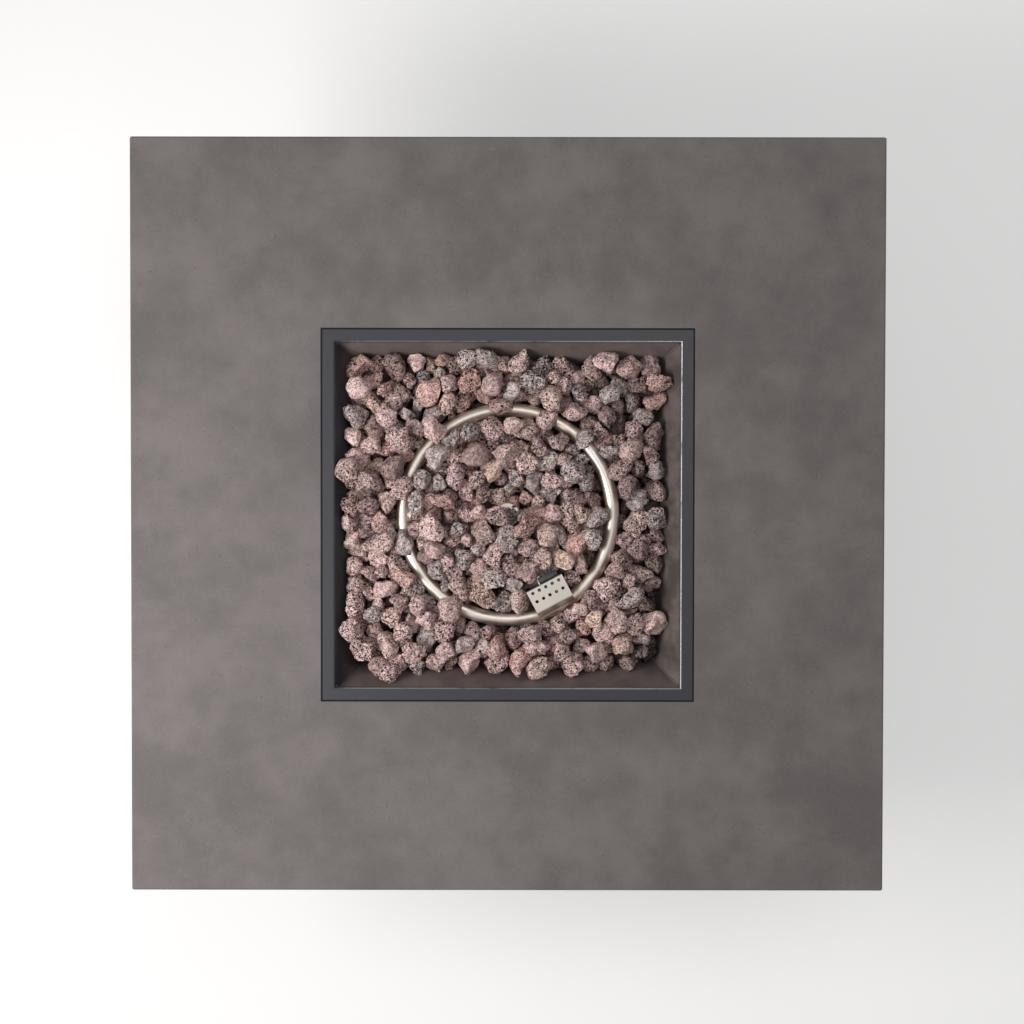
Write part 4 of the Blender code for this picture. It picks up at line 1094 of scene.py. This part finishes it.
def make_fascia():
    """The stainless control plate with rounded corners, screws and plain dial marks."""
    start, end = low("control_plate"), high("control_plate")
    plate = add_block("control_fascia", start, end)
    with editing(plate, "EDGE"):
        pick_edges(plate, lambda a, b: abs(a.y - b.y) > 0.1 * MM)
        bpy.ops.mesh.bevel(offset=5 * MM, segments=8, affect="EDGES")
    knob = middle("gas_knob")
    button = middle("igniter_button")
    back, front = end.y + 5 * MM, start.y - 5 * MM
    carve(
        plate,
        add_rod("knob_hole", (knob.x, front, knob.z), (knob.x, back, knob.z), 8.4 * MM, 48),
        add_rod("button_hole", (button.x, front, button.z), (button.x, back, button.z),
                11.4 * MM, 48),
    )
    ease(plate, 0.25 * MM, 2)
    finish(plate, "plate_stainless", "control_plate")

    inset = 8 * MM
    number = 0
    for x in (start.x + inset, end.x - inset):
        for z in (start.z + inset, end.z - inset):
            number += 1
            profile = [
                (0, 2.3 * MM), (2.2 * MM, 2.2 * MM), (3.5 * MM, 1.6 * MM), (4.2 * MM, 0.7 * MM),
                (4.3 * MM, 0), (0, -0.2 * MM),
            ]
            head = turn_profile(f"fascia_screw_{number}", profile, (x, start.y, z),
                                (0, -1, 0), 32)
            socket = add_rod("socket", (x, start.y - 0.8 * MM, z), (x, start.y - 5 * MM, z),
                             1.6 * MM, 6)
            carve(head, socket)
            finish(head, "plate_stainless", body="table", slot="stainless")

    centre = middle("gas_knob")
    for k in range(7):
        turn = math.radians(90 - 30 * k + 90)
        radius = 28 * MM
        tall = (3.2 if k in (0, 6) else 2.0) * MM
        mark = add_block(f"dial_mark_{k + 1}", (-0.6 * MM, -0.12 * MM, -tall / 2),
                         (0.6 * MM, 0.05 * MM, tall / 2))
        mark.location = (centre.x + radius * math.cos(turn), start.y,
                         centre.z + radius * math.sin(turn))
        mark.rotation_euler = (0, math.pi / 2 - turn, 0)
        settle(mark)
        finish(mark, "black_plastic", body="table", slot="black_plastic")


def make_knob():
    """The gas knob: a flared skirt, a waisted grip and a pale pointer line."""
    start, end = low("gas_knob"), high("gas_knob")
    centre = middle("gas_knob")
    wide = (end.x - start.x) / 2
    profile = [
        (0, 9.4 * MM), (wide * 0.62, 9.2 * MM), (wide * 0.78, 8.4 * MM),
        (wide * 0.87, 6.6 * MM), (wide * 0.93, 3.4 * MM), (wide * 0.985, 1.2 * MM),
        (wide, 0.6 * MM), (wide * 0.985, 0), (0, 0),
    ]
    knob = turn_profile("knob_body", profile, (centre.x, end.y, centre.z), (0, -1, 0), 96)
    grip = add_block(
        "grip",
        (centre.x - 6 * MM, start.y, centre.z - 19 * MM),
        (centre.x + 6 * MM, end.y - 5 * MM, centre.z + 19 * MM),
    )
    with editing(grip):
        bpy.ops.mesh.select_all(action="SELECT")
        bpy.ops.mesh.subdivide(number_cuts=6)
    shape = grip.data
    for corner in shape.vertices:
        reach = abs(corner.co.z - centre.z) / (19 * MM)
        waist = 0.78 + 0.22 * reach**2
        corner.co.x = centre.x + (corner.co.x - centre.x) * waist
        if corner.co.y < end.y - 12 * MM:
            corner.co.y += 2.2 * MM * reach**2
    ease(grip, 1.6 * MM, 4, 50)
    carve(knob, grip, operation="UNION")
    carve(
        knob,
        add_rod("recess", (centre.x, 0, centre.z), (centre.x, end.y - 6 * MM, centre.z),
                9.5 * MM),
        add_rod("bore", (centre.x, 0, centre.z), (centre.x, end.y - 19 * MM, centre.z),
                4.4 * MM),
    )
    finish(knob, "black_plastic", "gas_knob", angle=40)
    line = add_block(
        "knob_pointer",
        (centre.x - 0.7 * MM, start.y - 0.15 * MM, centre.z + 4 * MM),
        (centre.x + 0.7 * MM, start.y + 3 * MM, centre.z + 14 * MM),
    )
    ease(line, 0.1 * MM, 1)
    finish(line, "glazed_ceramic", body=BODY_OF["gas_knob"], slot="ceramic")
    refine("valve_stem", "knob_stem", "zinc_plate", 0.3 * MM)


def make_igniter():
    """The igniter: a domed button in a collar, its nut, body and battery."""
    axis = middle("igniter_button")
    front = low("igniter_body").y
    back = high("igniter_body").y
    wide = high("igniter_body").x - axis.x

    profile = [
        (8.3 * MM, 0.4 * MM), (8.9 * MM, 0), (wide - 2.2 * MM, 0), (wide - 0.9 * MM, 0.5 * MM),
        (wide, 1.6 * MM), (wide, 3 * MM), (11 * MM, 3 * MM), (11 * MM, back - front),
        (8.3 * MM, back - front),
    ]
    profile = [(radius, -deep) for radius, deep in profile]
    body = turn_profile("igniter_barrel", profile + profile[:1],
                        (axis.x, front, axis.z), (0, -1, 0), 64)
    finish(body, "black_plastic", "igniter_body")

    top = low("igniter_button").y
    deep = high("igniter_button").y - top
    profile = [
        (0, 0), (3 * MM, -0.12 * MM), (5.4 * MM, -0.6 * MM), (6.9 * MM, -1.5 * MM),
        (7.6 * MM, -2.8 * MM), (7.8 * MM, -4.5 * MM), (7.8 * MM, -deep), (0, -deep),
    ]
    button = turn_profile("igniter_cap", profile, (axis.x, top, axis.z), (0, -1, 0), 56)
    finish(button, "plate_stainless", "igniter_button")
    refine("igniter_nut", "igniter_locknut", "black_plastic", 0.4 * MM)
    refine("igniter_battery", "igniter_cell", "zinc_plate", 0.4 * MM)


def make_gas_train():
    """Everything that carries gas under the pan, with the leads and the pan's brackets."""
    for node, name, finish_name, width in (
        ("inlet_nipple", "pan_nipple", "machined_brass", 0.3),
        ("burner_locknut", "pan_locknut", "machined_brass", 0.6),
        ("gas_elbow", "feed_elbow", "machined_brass", 0.5),
        ("air_mixer", "mixer_tube", "zinc_plate", 0.3),
        ("gas_jet", "jet_holder", "machined_brass", 0.4),
        ("gas_valve", "valve_block", "machined_brass", 0.8),
        ("hose_inlet", "hose_union", "machined_brass", 0.4),
        ("gas_pipe", "supply_pipe", "bare_aluminium", 0),
        ("igniter_lead", "ignition_wire", "lead_rubber", 0),
        ("sensor_capillary", "capillary_tube", "sensor_copper", 0),
        ("heat_shield", "heat_baffle", "zinc_plate", 0.3),
        ("pan_bracket_front", "pan_tab_front", "zinc_plate", 0.3),
        ("pan_bracket_right", "pan_tab_right", "zinc_plate", 0.3),
        ("pan_bracket_back", "pan_tab_back", "zinc_plate", 0.3),
        ("pan_bracket_left", "pan_tab_left", "zinc_plate", 0.3),
    ):
        refine(node, name, finish_name, width * MM)


# ---- stage ----


def add_lamp(name, offset, width, power, tint):
    """A square soft light, placed from the middle of the table's top and aimed at it."""
    lamp = bpy.data.lights.new(name, "AREA")
    lamp.shape = "SQUARE"
    lamp.size = width
    lamp.energy = power
    lamp.color = tint
    obj = bpy.data.objects.new(name, lamp)
    obj.location = Vector((0, 0, TABLE_TOP)) + Vector(offset)
    obj.rotation_euler = (-Vector(offset)).to_track_quat("-Z", "Y").to_euler()
    bpy.context.scene.collection.objects.link(obj)


def make_stage(looks):
    """A pale floor, soft light from the left and a camera almost straight above."""
    deselect()
    bpy.ops.mesh.primitive_plane_add(size=14)
    floor = settle(rename(bpy.context.object, "floor"))
    pale = Finish("pale_floor", Emission_Color=(1, 1, 1, 1), Emission_Strength=0.3)
    grain = pale.noise(6, 3, 0.5)
    pale.feed("Base Color", pale.mix(grain, (0.93, 0.93, 0.93), (0.96, 0.96, 0.96)))
    pale.feed("Roughness", 0.75 + grain * 0.1)
    floor.data.materials.append(FINISHES["pale_floor"])

    add_lamp("key_light", (-1.13, -0.30, 1.16), 0.8, looks.key_power, (1.0, 0.985, 0.965))
    add_lamp("top_light", (0.55, 0.8, 3.1), 1.5, looks.top_power, (1.0, 1.0, 1.0))
    world = bpy.data.worlds.new("studio")
    world.use_nodes = True
    sky = world.node_tree.nodes["Background"]
    sky.inputs["Color"].default_value = (1, 0.99, 0.98, 1)
    sky.inputs["Strength"].default_value = looks.sky
    bpy.context.scene.world = world
    bpy.context.scene.view_settings.view_transform = "Standard"

    tilt = looks.camera_tilt
    target = Vector((looks.aim_x, looks.aim_y, TABLE_TOP))
    camera = bpy.data.objects.new("camera", bpy.data.cameras.new("camera"))
    camera.data.sensor_width = 36
    camera.data.lens = looks.lens
    camera.data.clip_end = 50
    camera.location = target + Vector((0, math.sin(tilt), math.cos(tilt))) * looks.camera_height
    camera.rotation_euler = (-tilt, 0, looks.camera_roll)
    bpy.context.scene.collection.objects.link(camera)
    bpy.context.scene.camera = camera


# ---- add-on ----


def length_setting(label, description, default):
    return FloatProperty(name=label, description=description, default=default,
                         subtype="DISTANCE", unit="LENGTH", precision=4)


def angle_setting(label, description, degrees):
    return FloatProperty(name=label, description=description, default=math.radians(degrees),
                         subtype="ANGLE", unit="ROTATION")


def power_setting(label, description, default):
    return FloatProperty(name=label, description=description, default=default, min=0,
                         unit="POWER")


def colour_setting(label, description, default):
    return FloatVectorProperty(name=label, description=description, default=default,
                               subtype="COLOR", min=0, max=1)


class FireTableLooks(bpy.types.PropertyGroup):
    """Colours of the table and the make-up of its heap of stones."""

    top_colour: colour_setting("Cast colour", "Mean colour of the cast top and panels",
                               (0.170, 0.151, 0.148))
    top_tone: FloatProperty(name="Cast mottling", description="Drift of the cast colour",
                            default=0.18, min=0, max=0.5, subtype="FACTOR")
    rim_colour: colour_setting("Rim colour", "Powder coat on the pan's flange",
                               (0.036, 0.036, 0.045))
    dust_colour: colour_setting("Dust colour", "Stone dust on the pan's walls",
                                (0.125, 0.100, 0.094))
    steel_colour: colour_setting("Stainless colour", "Brushed stainless of the burner",
                                 (0.76, 0.70, 0.64))
    stone_count: IntProperty(name="Stones", description="Stones in the pan", default=770, min=0)
    stone_seed: IntProperty(name="Stone seed", description="Arrangement of the stones", default=7)
    stone_small: length_setting("Smallest stone", "Radius of the smallest stone", 9.5 * MM)
    stone_large: length_setting("Largest stone", "Radius of the largest stone", 17.5 * MM)


class FireTableStage(bpy.types.PropertyGroup):
    """Light and camera."""

    key_power: power_setting("Key light", "Power of the soft light on the left", 21.5)
    top_power: power_setting("Top light", "Power of the soft light overhead", 16)
    sky: FloatProperty(name="Sky", description="Strength of the even light", default=0.30, min=0)
    camera_height: length_setting("Camera height", "Height of the camera over the top", 2.5)
    camera_tilt: angle_setting("Camera tilt", "Lean of the camera towards the back", 1.31)
    camera_roll: angle_setting("Camera roll", "Turn of the camera about its axis", 0.08)
    aim_x: length_setting("Aim across", "Point under the camera, across the table", 5.7 * MM)
    aim_y: length_setting("Aim along", "Point under the camera, along the table", 4.4 * MM)
    lens: FloatProperty(name="Lens", description="Focal length, in millimetres",
                        default=65.25, min=1, unit="CAMERA")


class BuildStep:
    """What every operator here shares."""

    bl_options = {"REGISTER", "UNDO"}


class FIRE_TABLE_OT_stage(BuildStep, bpy.types.Operator):
    """Add the floor, the lights and the camera"""

    bl_idname = "fire_table.stage"
    bl_label = "Stage"

    def execute(self, context):
        make_stage(context.scene.fire_table_stage)
        return {"FINISHED"}


class FIRE_TABLE_OT_finishes(BuildStep, bpy.types.Operator):
    """Make the materials that the pieces share"""

    bl_idname = "fire_table.finishes"
    bl_label = "Finishes"

    def execute(self, context):
        make_finishes(context.scene.fire_table_looks)
        return {"FINISHED"}


class FIRE_TABLE_OT_top(BuildStep, bpy.types.Operator):
    """Model the cast top"""

    bl_idname = "fire_table.top"
    bl_label = "Cast Top"

    def execute(self, context):
        make_cast_top()
        return {"FINISHED"}


class FIRE_TABLE_OT_burner(BuildStep, bpy.types.Operator):
    """Model the pan and the ring burner"""

    bl_idname = "fire_table.burner"
    bl_label = "Pan and Burner"

    def execute(self, context):
        make_pan()
        make_ring_burner()
        return {"FINISHED"}


class FIRE_TABLE_OT_pilot(BuildStep, bpy.types.Operator):
    """Model the pilot under its hood"""

    bl_idname = "fire_table.pilot"
    bl_label = "Pilot"

    def execute(self, context):
        make_hood()
        make_pilot()
        return {"FINISHED"}


class FIRE_TABLE_OT_lava(BuildStep, bpy.types.Operator):
    """Fill the pan with lava rock"""

    bl_idname = "fire_table.lava"
    bl_label = "Lava Rock"

    def execute(self, context):
        make_lava(context.scene.fire_table_looks)
        return {"FINISHED"}


class FIRE_TABLE_OT_base(BuildStep, bpy.types.Operator):
    """Finish the panels, the frame, the shelf and the feet"""

    bl_idname = "fire_table.base"
    bl_label = "Base"

    def execute(self, context):
        make_base()
        return {"FINISHED"}


class FIRE_TABLE_OT_door(BuildStep, bpy.types.Operator):
    """Finish the door, its hinges and its catch"""

    bl_idname = "fire_table.door"
    bl_label = "Door"

    def execute(self, context):
        make_door()
        return {"FINISHED"}


class FIRE_TABLE_OT_controls(BuildStep, bpy.types.Operator):
    """Model the control plate, the knob and the igniter"""

    bl_idname = "fire_table.controls"
    bl_label = "Controls"

    def execute(self, context):
        make_fascia()
        make_knob()
        make_igniter()
        return {"FINISHED"}


class FIRE_TABLE_OT_gas_train(BuildStep, bpy.types.Operator):
    """Finish the pipes, fittings and leads under the pan"""

    bl_idname = "fire_table.gas_train"
    bl_label = "Gas Train"

    def execute(self, context):
        make_gas_train()
        return {"FINISHED"}


STEPS = (
    FIRE_TABLE_OT_stage,
    FIRE_TABLE_OT_finishes,
    FIRE_TABLE_OT_top,
    FIRE_TABLE_OT_burner,
    FIRE_TABLE_OT_pilot,
    FIRE_TABLE_OT_lava,
    FIRE_TABLE_OT_base,
    FIRE_TABLE_OT_door,
    FIRE_TABLE_OT_controls,
    FIRE_TABLE_OT_gas_train,
)


class FIRE_TABLE_PT_panel(bpy.types.Panel):
    """Lists the table's pieces and settings"""

    bl_label = "Fire Table"
    bl_idname = "FIRE_TABLE_PT_panel"
    bl_space_type = "VIEW_3D"
    bl_region_type = "UI"
    bl_category = "Fire Table"

    def draw(self, context):
        for settings in (context.scene.fire_table_looks, context.scene.fire_table_stage):
            box = self.layout.box()
            for name in settings.__annotations__:
                box.prop(settings, name)
        for step in STEPS:
            self.layout.operator(step.bl_idname)


CLASSES = (FireTableLooks, FireTableStage, *STEPS, FIRE_TABLE_PT_panel)


def register():
    for cls in CLASSES:
        bpy.utils.register_class(cls)
    bpy.types.Scene.fire_table_looks = PointerProperty(type=FireTableLooks)
    bpy.types.Scene.fire_table_stage = PointerProperty(type=FireTableStage)


def unregister():
    del bpy.types.Scene.fire_table_stage
    del bpy.types.Scene.fire_table_looks
    for cls in reversed(CLASSES):
        bpy.utils.unregister_class(cls)


def main():
    register()
    for step in STEPS:
        group, name = step.bl_idname.split(".")
        getattr(getattr(bpy.ops, group), name)()


if __name__ == "__main__":
    main()
